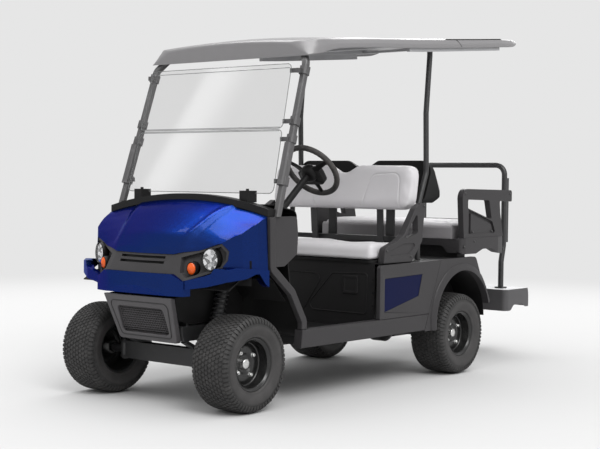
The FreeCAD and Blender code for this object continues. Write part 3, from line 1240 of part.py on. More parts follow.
ARM_INNER = ARM_OUTER - ARM_DEPTH
ARM_MARKS = [(1985.0, TRAY_TOP + FIT), (1960.0, 1166.0, 60.0), (2577.0, 1158.0, 18.0), (2577.0, 1082.0, 12.0),
             (2420.0, 1090.0, 14.0), (2430.0, 1007.0, 60.0), (2468.0, TRAY_TOP + FIT)]
ARM_WINDOW = [(2031.0, 1043.0, 10.0), (2031.0, 1098.0, 12.0), (2288.0, 1092.0, 14.0), (2324.0, 965.0, 12.0)]
ARM_POCKET = [(2038.0, 1034.0, 8.0), (2330.0, 955.0, 10.0), (2370.0, 880.0, 10.0), (2038.0, 880.0, 8.0)]
ARM_GUSSET = [(2072.0, 1010.0), (2322.0, 936.0), (2345.0, 876.0), (2072.0, 876.0)]
ARM_POCKET_DEPTH = 16.0
ARM_GUSSET_DROP = 5.0


def rear_seat_tray():
    """Moulded tray: arched side beams, the bench floor and a front skirt."""
    low, high = TRAY_LOW, TRAY_LOW + TRAY_ARCH_RISE
    (y0, r0), (y1, r1), (y2, r2), (y3, r3) = TRAY_ARCH_MARKS
    beam = slab("X", [(TRAY_FRONT_Y, low, OVERRUN), (y0, low, r0), (y1, high, r1), (y2, high, r2), (y3, low, r3),
                      (TRAY_REAR_Y, TRAY_REAR_LOW, OVERRUN), (TRAY_REAR_Y, TRAY_TOP, OVERRUN),
                      (TRAY_FRONT_Y, TRAY_TOP, OVERRUN)], TRAY_OUTER - TRAY_WALL, TRAY_OUTER)
    left, right = both(beam)
    inner = TRAY_OUTER - TRAY_WALL
    floor = box(-inner, inner, TRAY_FRONT_Y + OVERRUN, REAR_HINGE_Y + HINGE_RADIUS,
                TRAY_TOP - 2 * OVERRUN - TRAY_FLOOR, TRAY_TOP - 2 * OVERRUN)
    (wide, low_bend), (narrow, high_bend) = SKIRT_ARCH
    skirt = slab("Y", [(-inner, SKIRT_LOW), (-wide, SKIRT_LOW, low_bend), (-narrow, SKIRT_ARCH_TOP, high_bend),
                       (narrow, SKIRT_ARCH_TOP, high_bend), (wide, SKIRT_LOW, low_bend), (inner, SKIRT_LOW),
                       (inner, SKIRT_TOP), (-inner, SKIRT_TOP)], TRAY_FRONT_Y, TRAY_FRONT_Y + SKIRT_WALL)
    ledge = box(-inner, inner, TRAY_FRONT_Y, TRAY_FRONT_Y + OVERRUN + SKIRT_WALL, SKIRT_ARCH_TOP,
                TRAY_TOP - 2 * OVERRUN)
    plan = slab("Z", [(-TRAY_OUTER, TRAY_FRONT_Y, TRAY_CORNER), (TRAY_OUTER, TRAY_FRONT_Y, TRAY_CORNER),
                      (TRAY_OUTER, TRAY_CHAMFER_Y, TRAY_CORNER), (TRAY_OUTER - TRAY_CHAMFER, TRAY_REAR_Y),
                      (TRAY_CHAMFER - TRAY_OUTER, TRAY_REAR_Y), (-TRAY_OUTER, TRAY_CHAMFER_Y, TRAY_CORNER)],
                TRAY_REAR_LOW, TRAY_TOP)
    tray = left.fuse(floor).fuse(right).fuse(skirt).fuse(ledge)
    return [tray.common(plan).removeSplitter()]


def rear_seat_base():
    """Moulded seat pan under the rear cushion, hinged at its rear edge."""
    low = TRAY_TOP - 2 * OVERRUN + FIT
    rear = REAR_HINGE_Y - OVERRUN
    half = REAR_SEAT_HALF
    side = [(REAR_SEAT_FRONT_Y, low), (rear, low), (rear, REAR_PAN_TOP), (REAR_SEAT_FRONT_Y, REAR_PAN_TOP, OVERRUN)]
    pan = slab("X", side, -half, half)
    wall = REAR_PAN_WALL
    pan = pan.cut(box(wall - half, half - wall, REAR_SEAT_FRONT_Y + wall, rear - wall, REAR_PAN_FLOOR,
                      REAR_SEAT_TOP))
    centre_z = low + DECK_BOARD / 2
    for x in (HINGE_X, -HINGE_X):
        start = Vector(x - HINGE_LENGTH / 2, REAR_HINGE_Y, centre_z)
        pan = pan.fuse(rod(start, start + Vector(HINGE_LENGTH, 0, 0), DECK_BOARD / 2))
        pan = pan.fuse(box(start.x, start.x + HINGE_LENGTH, REAR_HINGE_Y - 2 * OVERRUN, REAR_HINGE_Y,
                           centre_z - DECK_BOARD / 4, centre_z + DECK_BOARD / 4))
    return pan.removeSplitter()


def rear_seat_cushion():
    """Plain rear cushion with a crowned top, set into its pan."""
    inset = REAR_PAN_WALL + FIT
    low = REAR_PAN_FLOOR + FIT
    half = REAR_SEAT_HALF - inset
    front = REAR_SEAT_FRONT_Y + inset
    rear = REAR_HINGE_Y - OVERRUN - inset
    bend = REAR_SEAT_TOP - REAR_PAN_TOP - PANEL
    side = slab("X", [(front, low), (rear, low), (rear, REAR_SEAT_TOP, bend), (front, REAR_SEAT_TOP, bend)],
                -half, half)
    view = slab("Y", [(-half, low), (half, low), (half, REAR_SEAT_TOP, bend), (-half, REAR_SEAT_TOP, bend)],
                front, rear)
    return side.common(view)


def rear_armrests():
    """Moulded armrest loops with a set-in triangular gusset."""
    loop = slab("X", ARM_MARKS, ARM_INNER, ARM_OUTER)
    window = slab("X", ARM_WINDOW, ARM_INNER - OVERRUN, ARM_OUTER + OVERRUN)
    pocket = slab("X", ARM_POCKET, ARM_OUTER - ARM_POCKET_DEPTH, ARM_OUTER + OVERRUN)
    gusset = slab("X", ARM_GUSSET, ARM_INNER, ARM_OUTER - ARM_GUSSET_DROP)
    return both(loop.cut(window).cut(pocket).fuse(gusset).removeSplitter())


# Roof

ROOF_WALL = 8.0
ROOF_HALF = BODY_HALF - OVERRUN
# (y, lower edge height, half width less the roof's, lean of the side, side height, crown height)
ROOF_SECTIONS = [(430.0, 1881.0, 2.0, 130.0, 76.0, 98.0), (456.0, 1886.0, 8.0, 76.0, 84.0, 104.0),
                 (520.0, 1897.0, 12.0, 24.0, 82.0, 104.0),
                 (600.0, 1920.0, 8.0, 16.0, 66.0, 94.0), (670.0, 1935.0, 4.0, 14.0, 56.0, 88.0),
                 (850.0, 1957.0, 0.0, 14.0, 50.0, 84.0), (1594.0, 2016.0, 0.0, 14.0, 54.0, 84.0),
                 (2450.0, 2096.0, 0.0, 14.0, 52.0, 74.0), (2600.0, 2112.0, -10.0, 16.0, 46.0, 62.0),
                 (2672.0, 2134.0, -28.0, 18.0, 26.0, 42.0), (2702.0, 2150.0, -46.0, 12.0, 8.0, 22.0)]
RAIL_TUBE = 24.0
RAIL_RISE = 30.0
ROOF_RAIL_START = 474.0
ROOF_RAIL_END = 2440.0
TRIM_START = 1390.0
TRIM_END = 2425.0
TRIM_DROP = 20.0
TRIM_DEPTH = 22.0
BOW_PLACES = [1420.0, 2380.0]


def roof_low(y):
    """Height of the roof's lower edge at a place along the cart."""
    marks = [(section[0], section[1]) for section in ROOF_SECTIONS]
    for (y0, low0), (y1, low1) in zip(marks, marks[1:]):
        if y <= y1:
            return low0 + (low1 - low0) * (y - y0) / (y1 - y0)
    return marks[-1][1]


def roof_solid(wall):
    """Lofted roof block; wall moves its skin inwards."""
    wires = []
    last = len(ROOF_SECTIONS) - 1
    for index, (y, low, widen, lean, edge, crown) in enumerate(ROOF_SECTIONS):
        half = ROOF_HALF + widen - wall
        top = low + edge - wall
        crown_z = low + crown - wall
        if wall:
            low = low - OVERRUN
            y = y + wall if index == 0 else y
            y = y - wall if index == last else y
        arc = Part.Arc(Vector(half - lean, y, top), Vector(0, y, crown_z), Vector(lean - half, y, top))
        wires.append(Part.Wire([
            Part.makeLine(Vector(-half, y, low), Vector(half, y, low)),
            Part.makeLine(Vector(half, y, low), Vector(half - lean, y, top)),
            arc.toShape(),
            Part.makeLine(Vector(lean - half, y, top), Vector(-half, y, low))]))
    return Part.makeLoft(wires, True, True)


def roof():
    """Thin crowned canopy, open below."""
    return roof_solid(0).cut(roof_solid(ROOF_WALL))


def rail_path(start, end, rise):
    """Side view path at a height above the roof's lower edge."""
    inside = [section[0] for section in ROOF_SECTIONS if start < section[0] < end]
    return [(y, roof_low(y) + rise) for y in [start] + inside + [end]]


def strut_rails():
    """Tubes inside the canopy that the four struts are fixed to."""
    inner = ROOF_RAIL_X - RAIL_TUBE / 2
    path = rail_path(ROOF_RAIL_START, ROOF_RAIL_END, RAIL_RISE)
    return both(strip("X", path, RAIL_RISE, inner, inner + RAIL_TUBE).cut(roof()))


def roof_rails():
    """Strut rails, cross bows and the pale trim bars below the canopy's sides."""
    outer = ROOF_HALF - ROOF_WALL - FIT
    path = rail_path(TRIM_START, TRIM_END, (RAIL_RISE - TRIM_DROP) / 2)
    trim = strip("X", path, TRIM_DROP + RAIL_RISE, outer - TRIM_DEPTH, outer)
    left, right = strut_rails()
    rack = left.fuse(right)
    for piece in both(trim.cut(roof())):
        rack = rack.fuse(piece)
    for y in BOW_PLACES:
        low = roof_low(y) + RAIL_RISE / 2
        rack = rack.fuse(box(-outer, outer, y, y + RAIL_TUBE, low, low + RAIL_RISE / 2))
    return [rack.cut(roof()).removeSplitter()]


# Footrest and grab hoop

FOOT_HALF = 454.0
FOOT_FRONT_Y = 2800.0
FOOT_REAR_Y = LENGTH - FRONT_OVERHANG
FOOT_TOP_REAR_Y = FOOT_REAR_Y - 42.0
FOOT_FRONT_LOW = 322.0
FOOT_ARCH = 360.0
FOOT_TIP = 338.0
FOOT_ARCH_MARKS = [(2866.0, 30.0), (2905.0, 40.0), (3028.0, 40.0), (3070.0, 30.0)]
FOOT_CORNER = 40.0
FOOT_SKIRT_ARCH = [(215.0, 26.0), (145.0, 40.0)]
HOOP_RADIUS = 19.0
HOOP_HALF = 345.0
HOOP_TOP = 1330.0
HOOP_BEND = 70.0
HOOP_MARKS = [(2911.0, FOOTREST_TOP + FIT), (2911.0, 655.0), (2940.0, 770.0), (2940.0, HOOP_TOP)]
CROSSBAR_Z = 937.0
CROSSBAR_RADIUS = 10.0
HOOP_FIN = 33.0
HOOP_FIN_WALL = 12.0
HOOP_FIN_LOW = 790.0
HOOP_FIN_TOP = 1240.0
HOOP_SHOE = 62.0
HOOP_SHOE_DEPTH = 10.0


def footrest():
    """Rear platform: thin top and a skirt that is arched below its sides and front."""
    wall = FOOTREST_SKIN
    (y0, r0), (y1, r1), (y2, r2), (y3, r3) = FOOT_ARCH_MARKS
    side = [(FOOT_FRONT_Y, FOOT_FRONT_LOW), (y0, FOOT_FRONT_LOW, r0), (y1, FOOT_ARCH, r1), (y2, FOOT_ARCH, r2),
            (y3, FOOT_TIP, r3), (FOOT_REAR_Y, FOOT_TIP), (FOOT_TOP_REAR_Y, FOOTREST_TOP),
            (FOOT_FRONT_Y, FOOTREST_TOP)]
    plan = slab("Z", [(-FOOT_HALF, FOOT_FRONT_Y, FOOT_CORNER), (FOOT_HALF, FOOT_FRONT_Y, FOOT_CORNER),
                      (FOOT_HALF, FOOT_REAR_Y, FOOT_CORNER), (-FOOT_HALF, FOOT_REAR_Y, FOOT_CORNER)],
                FOOT_FRONT_LOW, FOOTREST_TOP)
    outer = slab("X", side, -FOOT_HALF, FOOT_HALF).common(plan)
    inner_low = FOOT_FRONT_LOW - OVERRUN
    slope = (FOOT_TOP_REAR_Y - FOOT_REAR_Y) / (FOOTREST_TOP - FOOT_TIP)
    back_low = FOOT_REAR_Y + slope * (inner_low - FOOT_TIP) - wall
    back_top = FOOT_TOP_REAR_Y - slope * wall - wall
    inner = slab("X", [(FOOT_FRONT_Y + wall, inner_low), (back_low, inner_low),
                       (back_top, FOOTREST_TOP - wall), (FOOT_FRONT_Y + wall, FOOTREST_TOP - wall)],
                 wall - FOOT_HALF, FOOT_HALF - wall)
    room = slab("Z", [(wall - FOOT_HALF, FOOT_FRONT_Y + wall, FOOT_CORNER - wall),
                      (FOOT_HALF - wall, FOOT_FRONT_Y + wall, FOOT_CORNER - wall),
                      (FOOT_HALF - wall, FOOT_REAR_Y + OVERRUN, FOOT_CORNER - wall),
                      (wall - FOOT_HALF, FOOT_REAR_Y + OVERRUN, FOOT_CORNER - wall)], inner_low, FOOTREST_TOP)
    (wide, low_bend), (narrow, high_bend) = FOOT_SKIRT_ARCH
    arch = slab("Y", [(-wide, inner_low), (-wide, FOOT_FRONT_LOW - FIT, low_bend), (-narrow, FOOT_ARCH, high_bend),
                      (narrow, FOOT_ARCH, high_bend), (wide, FOOT_FRONT_LOW - FIT, low_bend), (wide, inner_low)],
                FOOT_FRONT_Y - OVERRUN, FOOT_FRONT_Y + OVERRUN)
    return outer.cut(inner.common(room)).cut(arch).cut(frame()).removeSplitter()


def grab_bar():
    """Hoop on the footrest with shoes, a crossbar and a flat fin behind each leg."""
    right = [Vector(HOOP_HALF, y, z) for y, z in HOOP_MARKS]
    left = [Vector(-mark.x, mark.y, mark.z) for mark in right[::-1]]
    hoop = pipe(right + left, HOOP_RADIUS, HOOP_BEND)
    y = HOOP_MARKS[-1][0]
    cross = rod(Vector(-HOOP_HALF, y, CROSSBAR_Z), Vector(HOOP_HALF, y, CROSSBAR_Z), CROSSBAR_RADIUS)
    fin = box(HOOP_HALF - HOOP_FIN_WALL / 2, HOOP_HALF + HOOP_FIN_WALL / 2, y, y + HOOP_RADIUS + HOOP_FIN,
              HOOP_FIN_LOW, HOOP_FIN_TOP)
    foot_y, foot_z = HOOP_MARKS[0]
    shoe = box(HOOP_HALF - HOOP_SHOE / 2, HOOP_HALF + HOOP_SHOE / 2, foot_y - HOOP_SHOE / 2, foot_y + HOOP_SHOE / 2,
               foot_z, foot_z + HOOP_SHOE_DEPTH)
    hoop = hoop.fuse(cross)
    for piece in both(fin) + both(shoe):
        hoop = hoop.fuse(piece)
    return hoop.removeSplitter()


def main():
    """Build every sub-part and write it to its own file."""
    os.makedirs("parts", exist_ok=True)
    corners = {"front_left": (1, FRONT_TRACK, 0), "front_right": (-1, FRONT_TRACK, 0),
               "rear_left": (1, REAR_TRACK, REAR_Y), "rear_right": (-1, REAR_TRACK, REAR_Y)}
    for name, (side, track, y) in corners.items():
        centre = Vector(side * track / 2, y, AXLE_Z)
        save("rim_" + name, [rim(centre, side)])
        save("tyre_" + name, [tyre(centre, side)])
    save("frame", [frame()])
    save("outriggers", outriggers())
    save("front_axle", [front_axle()])
    save("knuckle_left", [knuckle(1)])
    save("knuckle_right", [knuckle(-1)])
    save("tie_rod", [tie_rod()])
    save("front_springs", front_springs())
    save("rear_axle", [rear_axle()])
    save("rear_springs", rear_springs())
    save("drive_motor", [drive_motor()])
    save("battery_pack", [battery_pack()])
    save("floor_pan", [floor_pan()])
    save("pedals", pedals())
    save("rocker_panels", rocker_panels())
    save("hood", [hood()])
    save("fascia", [fascia()])
    save("headlamps", both(lamp(LAMP_CENTRE, LAMP_RADIUS)))
    save("turn_signals", both(lamp(SIGNAL_CENTRE, SIGNAL_RADIUS)))
    save("front_bumper", [front_bumper()])
    save("lower_grille", [lower_grille()])
    save("wheel_liners", wheel_liners())
    save("cowl_pillars", cowl_pillars())
    save("dash", dash())
    save("cowl_side_shields", cowl_side_shields())
    save("front_struts", front_struts())
    gap = FIT
    save("windshield_lower", [pane(SCREEN_LOW, SCREEN_FOLD - gap, SCREEN_LOW_HALF, screen_half(SCREEN_FOLD))])
    save("windshield_upper", [pane(SCREEN_FOLD + gap, SCREEN_TOP, screen_half(SCREEN_FOLD), SCREEN_TOP_HALF)])
    save("windshield_clips", windshield_clips())
    save("steering_column", [steering_column()])
    save("steering_wheel", [steering_wheel()])
    save("seat_pod", [seat_pod()])
    save("side_panels", side_panels())
    save("side_inserts", side_inserts())
    save("rear_fenders", rear_fenders())
    save("front_seat_base", [front_seat_base()])
    save("front_seat_cushion", [front_seat_cushion()])
    save("front_seat_back", [front_seat_back()])
    save("hip_restraints", hip_restraints())
    save("rear_struts", rear_struts())
    save("rear_back_shell", [rear_back_shell()])
    save("rear_back_cushion", [rear_back_cushion()])
    save("rear_seat_tray", rear_seat_tray())
    save("rear_seat_base", [rear_seat_base()])
    save("rear_seat_cushion", [rear_seat_cushion()])
    save("rear_armrests", rear_armrests())
    save("roof", [roof()])
    save("roof_rails", roof_rails())
    save("footrest", [footrest()])
    save("grab_bar", [grab_bar()])


main()
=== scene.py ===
"""Looks of the golf cart: finishes, soft seats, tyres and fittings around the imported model."""
from __future__ import annotations

import json
import logging
import math
from contextlib import contextmanager
from dataclasses import dataclass, field
from enum import Enum
from typing import Iterable, Iterator, Sequence

import bmesh
import bpy
import numpy as np
from mathutils import Matrix, Vector


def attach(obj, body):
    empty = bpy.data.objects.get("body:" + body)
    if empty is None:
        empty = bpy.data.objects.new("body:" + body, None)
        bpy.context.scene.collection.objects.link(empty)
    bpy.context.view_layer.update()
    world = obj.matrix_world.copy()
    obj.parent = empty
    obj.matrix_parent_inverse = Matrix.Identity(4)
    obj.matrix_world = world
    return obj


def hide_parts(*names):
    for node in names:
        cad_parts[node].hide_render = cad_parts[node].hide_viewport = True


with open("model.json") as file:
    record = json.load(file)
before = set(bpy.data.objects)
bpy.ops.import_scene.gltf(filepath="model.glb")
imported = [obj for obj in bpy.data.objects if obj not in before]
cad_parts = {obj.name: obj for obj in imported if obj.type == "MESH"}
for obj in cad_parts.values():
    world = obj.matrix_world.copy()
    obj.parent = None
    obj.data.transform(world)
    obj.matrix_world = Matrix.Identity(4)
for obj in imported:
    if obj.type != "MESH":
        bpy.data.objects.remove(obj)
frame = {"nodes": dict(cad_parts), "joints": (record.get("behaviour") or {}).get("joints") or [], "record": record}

LOG = logging.getLogger("golf_cart")
Colour = tuple[float, float, float]
Array = np.ndarray
Marks = tuple[tuple[float, ...], ...]

JOINTS = {joint["name"]: joint for joint in frame["joints"]}
FRONT_Y = JOINTS["front_left_spin"]["pos_m"][1]
WELD = 2e-5  # points nearer than this are one point, in metres
FULL_TURN = 2.0 * math.pi
HOLD_FADE = 0.012  # height over which a pad's held part lets go, in metres
CLOTH_FRAMES = 20
CLOTH = {"quality": 3, "mass": 0.3, "tension_stiffness": 12.0, "compression_stiffness": 12.0,
         "bending_stiffness": 0.6, "use_pressure": True, "vertex_group_mass": "hold"}
BODY_OF = {node: body for body, nodes in frame["record"]["behaviour"]["bodies"].items() for node in nodes}


class Side(Enum):
    """The driver's side is on +X."""

    LEFT = 1
    RIGHT = -1


# Shader graph helpers

class Link:
    """One shader output that Python's operators act on.

    Args:
        graph: The graph that owns the node.
        socket: The output socket that is wrapped.
    """

    def __init__(self, graph: "Graph", socket: bpy.types.NodeSocket) -> None:
        self.graph = graph
        self.socket = socket

    def _math(self, operation: str, *values: "Link | float") -> "Link":
        """Adds one Math node. Returns its result."""
        return self.graph.node("ShaderNodeMath", {"operation": operation}, dict(enumerate(values)))

    def __add__(self, other: "Link | float") -> "Link":
        """Sum."""
        return self._math("ADD", self, other)

    __radd__ = __add__

    def __sub__(self, other: "Link | float") -> "Link":
        """Difference."""
        return self._math("SUBTRACT", self, other)

    def __mul__(self, other: "Link | float") -> "Link":
        """Product."""
        return self._math("MULTIPLY", self, other)

    def root(self) -> "Link":
        """Square root."""
        return self._math("SQRT", self)

    def smooth(self, low: float, high: float) -> "Link":
        """Soft step from 0 at low to 1 at high."""
        settings = {"interpolation_type": "SMOOTHSTEP"}
        return self.graph.node("ShaderNodeMapRange", settings, {"Value": self, "From Min": low, "From Max": high})


class Graph:
    """The node tree of one material, or of the world.

    Args:
        name: The material's name.
        tree: The world's tree, where it isn't a material's.
    """

    def __init__(self, name: str, tree: bpy.types.NodeTree | None = None) -> None:
        self.material = None if tree else bpy.data.materials.new(name)
        if self.material:
            self.material.use_nodes = True
            self.material.node_tree.nodes.clear()
        self.tree = tree or self.material.node_tree
        self.output = self.tree.nodes.new("ShaderNodeOutputWorld" if tree else "ShaderNodeOutputMaterial")

    def node(self, kind: str, settings: dict | None = None, inputs: dict | None = None,
             output: str | int = 0) -> Link:
        """Adds a node.

        Args:
            kind: The node's type name.
            settings: Properties that are set first; a ramp's stops go in as "stops".
            inputs: Values or links by socket name or number.
            output: The output to return.

        Returns:
            The wrapped output.
        """
        made = self.tree.nodes.new(kind)
        for key, value in (settings or {}).items():
            if key == "stops":
                ramp = made.color_ramp
                while len(ramp.elements) < len(value):
                    ramp.elements.new(1.0)
                for element, (place, colour) in zip(ramp.elements, value):
                    element.position = place
                    element.color = (*colour, 1.0)
            else:
                setattr(made, key, value)
        for key, value in (inputs or {}).items():
            self.plug(made.inputs[key], value)
        return Link(self, made.outputs[output])

    def plug(self, socket: bpy.types.NodeSocket, value: object) -> None:
        """Sets a socket to a value or joins a link to it."""
        if isinstance(value, Link):
            self.tree.links.new(value.socket, socket)
        elif socket.type == "RGBA" and len(value) == 3:
            socket.default_value = (*value, 1.0)
        else:
            socket.default_value = value

    def place(self, scale: float | tuple[float, float, float] = 1.0) -> Link:
        """Object coordinates in metres, scaled."""
        factors = (scale,) * 3 if isinstance(scale, (int, float)) else scale
        where = self.node("ShaderNodeTexCoord", output="Object")
        return self.node("ShaderNodeMapping", None, {"Vector": where, "Scale": factors})

    def axis(self, vector: Link, name: str) -> Link:
        """One coordinate of a vector: X, Y or Z."""
        return self.node("ShaderNodeSeparateXYZ", None, {0: vector}, name)

    def red(self, colour: Link) -> Link:
        """The first channel of a colour, which is random where the colour is a cell's."""
        return self.node("ShaderNodeSeparateColor", None, {0: colour}, "Red")

    def noise(self, size: float, detail: float = 3.0, rough: float = 0.55) -> Link:
        """Cloudy noise from 0 to 1 whose features are about size metres across."""
        values = {"Vector": self.place(), "Scale": 1.0 / size, "Detail": detail, "Roughness": rough}
        return self.node("ShaderNodeTexNoise", None, values)

    def cells(self, size: float, feature: str = "F1", output: str = "Distance") -> Link:
        """Voronoi cells about size metres across."""
        return self.node("ShaderNodeTexVoronoi", {"feature": feature},
                         {"Vector": self.place(), "Scale": 1.0 / size}, output)

    def mix(self, factor: Link | float, first: object, second: object) -> Link:
        """Colour between first and second."""
        made = self.tree.nodes.new("ShaderNodeMix")
        made.data_type = "RGBA"
        self.plug(made.inputs[0], factor)
        self.plug(made.inputs[6], first)
        self.plug(made.inputs[7], second)
        return Link(self, made.outputs[2])

    def bump(self, height: Link, depth: float, strength: float = 1.0, under: Link | None = None) -> Link:
        """Normal raised by height times depth metres."""
        values = {"Height": height, "Distance": depth, "Strength": strength}
        if under is not None:
            values["Normal"] = under
        return self.node("ShaderNodeBump", None, values)

    def principled(self, **inputs: object) -> bpy.types.Material:
        """Closes the graph with a Principled surface; underscores stand for spaces."""
        named = {key.replace("_", " "): value for key, value in inputs.items()}
        shader = self.node("ShaderNodeBsdfPrincipled", None, named)
        self.tree.links.new(shader.socket, self.output.inputs["Surface"])
        return self.material


def shade(colour: Colour, factor: float) -> Colour:
    """The colour times a factor."""
    return tuple(min(1.0, part * factor) for part in colour)


# Finishes

@dataclass(frozen=True)
class Finish:
    """Base of the finishes: a name and a colour.

    Args:
        name: The material's name.
        colour: Its linear colour.
    """

    name: str
    colour: Colour

    def make(self) -> bpy.types.Material:
        """Returns the one material of this finish, made on first use."""
        found = bpy.data.materials.get(self.name)
        return found if found else self.build(Graph(self.name))

    def build(self, graph: Graph) -> bpy.types.Material:
        """Returns the material; each finish has its own."""
        raise NotImplementedError


@dataclass(frozen=True)
class MetallicPaint(Finish):
    """Metallic paint: fine flakes under a clear coat."""

    flake: float = 0.0011

    def build(self, graph: Graph) -> bpy.types.Material:
        """Flakes tilt the base and lighten it a little; the coat stays smooth."""
        tone = graph.red(graph.cells(self.flake, output="Color"))
        broad = graph.noise(0.35, 2.0)
        base = graph.mix(tone * 0.3 + broad * 0.12, shade(self.colour, 0.86), shade(self.colour, 1.55))
        peel = graph.bump(graph.noise(0.006, 1.0), 0.00003, 0.3)
        normal = graph.bump(tone, 0.00005, 0.2, peel)
        return graph.principled(Base_Color=base, Metallic=0.96, Roughness=0.25 + tone * 0.05, Normal=normal,
                                Specular_Tint=(0.16, 0.3, 0.75, 1.0), Coat_Weight=0.12, Coat_Roughness=0.04,
                                Coat_IOR=1.45)


@dataclass(frozen=True)
class Moulding(Finish):
    """Injection or thermoformed plastic with an etched grain."""

    roughness: float = 0.5
    grain: float = 0.0014
    depth: float = 0.00012
    mottle: float = 0.16
    gloss: float = 0.32

    def build(self, graph: Graph) -> bpy.types.Material:
        """Cell grain over a slow mottle; worn spots are smoother and lighter."""
        cell = graph.cells(self.grain)
        cloud = graph.noise(0.09, 4.0)
        scuff = graph.noise(0.012, 5.0, 0.7).smooth(0.55, 0.75)
        low, high = shade(self.colour, 1.0 - self.mottle), shade(self.colour, 1.0 + self.mottle)
        base = graph.mix(cloud * 0.75 + scuff * 0.25, low, high)
        rough = self.roughness + (cloud - 0.5) * 0.12 - scuff * 0.06
        return graph.principled(Base_Color=base, Roughness=rough, Specular_IOR_Level=self.gloss,
                                Normal=graph.bump(cell, self.depth, 0.7))


@dataclass(frozen=True)
class TwoToneDeck(Finish):
    """Moulding whose upward faces at the deck's level are pale."""

    top: Colour = (0.62, 0.62, 0.63)
    level: float = 0.4685

    def build(self, graph: Graph) -> bpy.types.Material:
        """The pale tone shows where the height passes the deck's level."""
        mask = graph.axis(graph.place(), "Z").smooth(self.level - 0.0015, self.level)
        cloud = graph.noise(0.05, 4.0)
        base = graph.mix(mask, graph.mix(cloud, shade(self.colour, 0.85), shade(self.colour, 1.15)),
                         graph.mix(cloud, shade(self.top, 0.92), self.top))
        cell = graph.cells(0.0022)
        return graph.principled(Base_Color=base, Roughness=0.46 + cloud * 0.1, Normal=graph.bump(cell, 0.00015, 0.7))


@dataclass(frozen=True)
class PowderCoat(Finish):
    """Powder coat on steel: satin, with orange peel."""

    roughness: float = 0.36

    def build(self, graph: Graph) -> bpy.types.Material:
        """Peel bumps about 2 mm wide and dust that dulls the gloss."""
        peel = graph.noise(0.0022, 2.0)
        dust = graph.noise(0.05, 5.0, 0.65)
        base = graph.mix(dust.smooth(0.5, 0.8), self.colour, shade(self.colour, 1.7))
        return graph.principled(Base_Color=base, Roughness=self.roughness + dust * 0.12, Specular_IOR_Level=0.55,
                                Normal=graph.bump(peel, 0.00008, 0.5))


@dataclass(frozen=True)
class BareMetal(Finish):
    """Plated or machined metal."""

    roughness: float = 0.22

    def build(self, graph: Graph) -> bpy.types.Material:
        """Fine scratches vary the gloss; thin films vary the tone."""
        cloud = graph.noise(0.01, 4.0)
        base = graph.mix(cloud, shade(self.colour, 0.82), self.colour)
        scratch = graph.node("ShaderNodeTexNoise", None,
                             {"Vector": graph.place((60.0, 60.0, 900.0)), "Scale": 6.0, "Detail": 2.0})
        return graph.principled(Base_Color=base, Metallic=1.0, Roughness=self.roughness + cloud * 0.1,
                                Normal=graph.bump(scratch, 0.00003, 0.4))


@dataclass(frozen=True)
class Vinyl(Finish):
    """Marine vinyl over foam: pebble grain, soft sheen and slow creases."""

    grain: float = 0.0021

    def build(self, graph: Graph) -> bpy.types.Material:
        """Pebbles from cell edges; creases from stretched noise."""
        pebble = graph.cells(self.grain, "SMOOTH_F1")
        crease = graph.node("ShaderNodeTexNoise", None,
                            {"Vector": graph.place((9.0, 26.0, 30.0)), "Scale": 1.0, "Detail": 3.0})
        cloud = graph.noise(0.12, 3.0)
        base = graph.mix(cloud * 0.6 + pebble * 0.4, shade(self.colour, 0.9), shade(self.colour, 1.05))
        normal = graph.bump(pebble, 0.00022, 0.55, graph.bump(crease, 0.0012, 0.22))
        return graph.principled(Base_Color=base, Roughness=0.42 + cloud * 0.12, Normal=normal,
                                Specular_IOR_Level=0.42, Sheen_Weight=0.12, Sheen_Roughness=0.5)


@dataclass(frozen=True)
class Rubber(Finish):
    """Tyre or seal rubber with a dusty bloom."""

    bloom: Colour = (0.075, 0.068, 0.064)
    roughness: float = 0.66

    def build(self, graph: Graph) -> bpy.types.Material:
        """Bloom gathers in broad patches; the grain is fine."""
        cloud = graph.noise(0.07, 5.0, 0.62)
        base = graph.mix(cloud.smooth(0.3, 0.8), self.colour, self.bloom)
        return graph.principled(Base_Color=base, Roughness=self.roughness + cloud * 0.14,
                                Normal=graph.bump(graph.noise(0.0016, 3.0), 0.0002, 0.5))


@dataclass(frozen=True)
class Mirror(Finish):
    """Vacuum-plated reflector."""

    def build(self, graph: Graph) -> bpy.types.Material:
        """Plating whose facets differ in brightness: a painted reflection of light and dark parts of a room, put into
        the base colour.
        """
        facet = graph.red(graph.cells(0.017, output="Color"))
        # painted reflection: each cell's base colour is dark or bright as if it mirrored a dark or a light part of a
        # room
        base = graph.mix(facet.smooth(0.3, 0.72), shade(self.colour, 0.16), self.colour)
        return graph.principled(Base_Color=base, Metallic=1.0, Roughness=0.05 + facet * 0.08)


@dataclass(frozen=True)
class LensPlastic(Finish):
    """Coloured or clear lamp lens, part see-through."""

    alpha: float = 0.5

    def build(self, graph: Graph) -> bpy.types.Material:
        """Plain tint with a polished skin; thickness varies the tint a little."""
        cloud = graph.noise(0.02, 2.0)
        base = graph.mix(cloud, shade(self.colour, 0.85), self.colour)
        return graph.principled(Base_Color=base, Roughness=0.06, Alpha=self.alpha, Coat_Weight=0.6,
                                Coat_Roughness=0.03, Specular_IOR_Level=0.6)


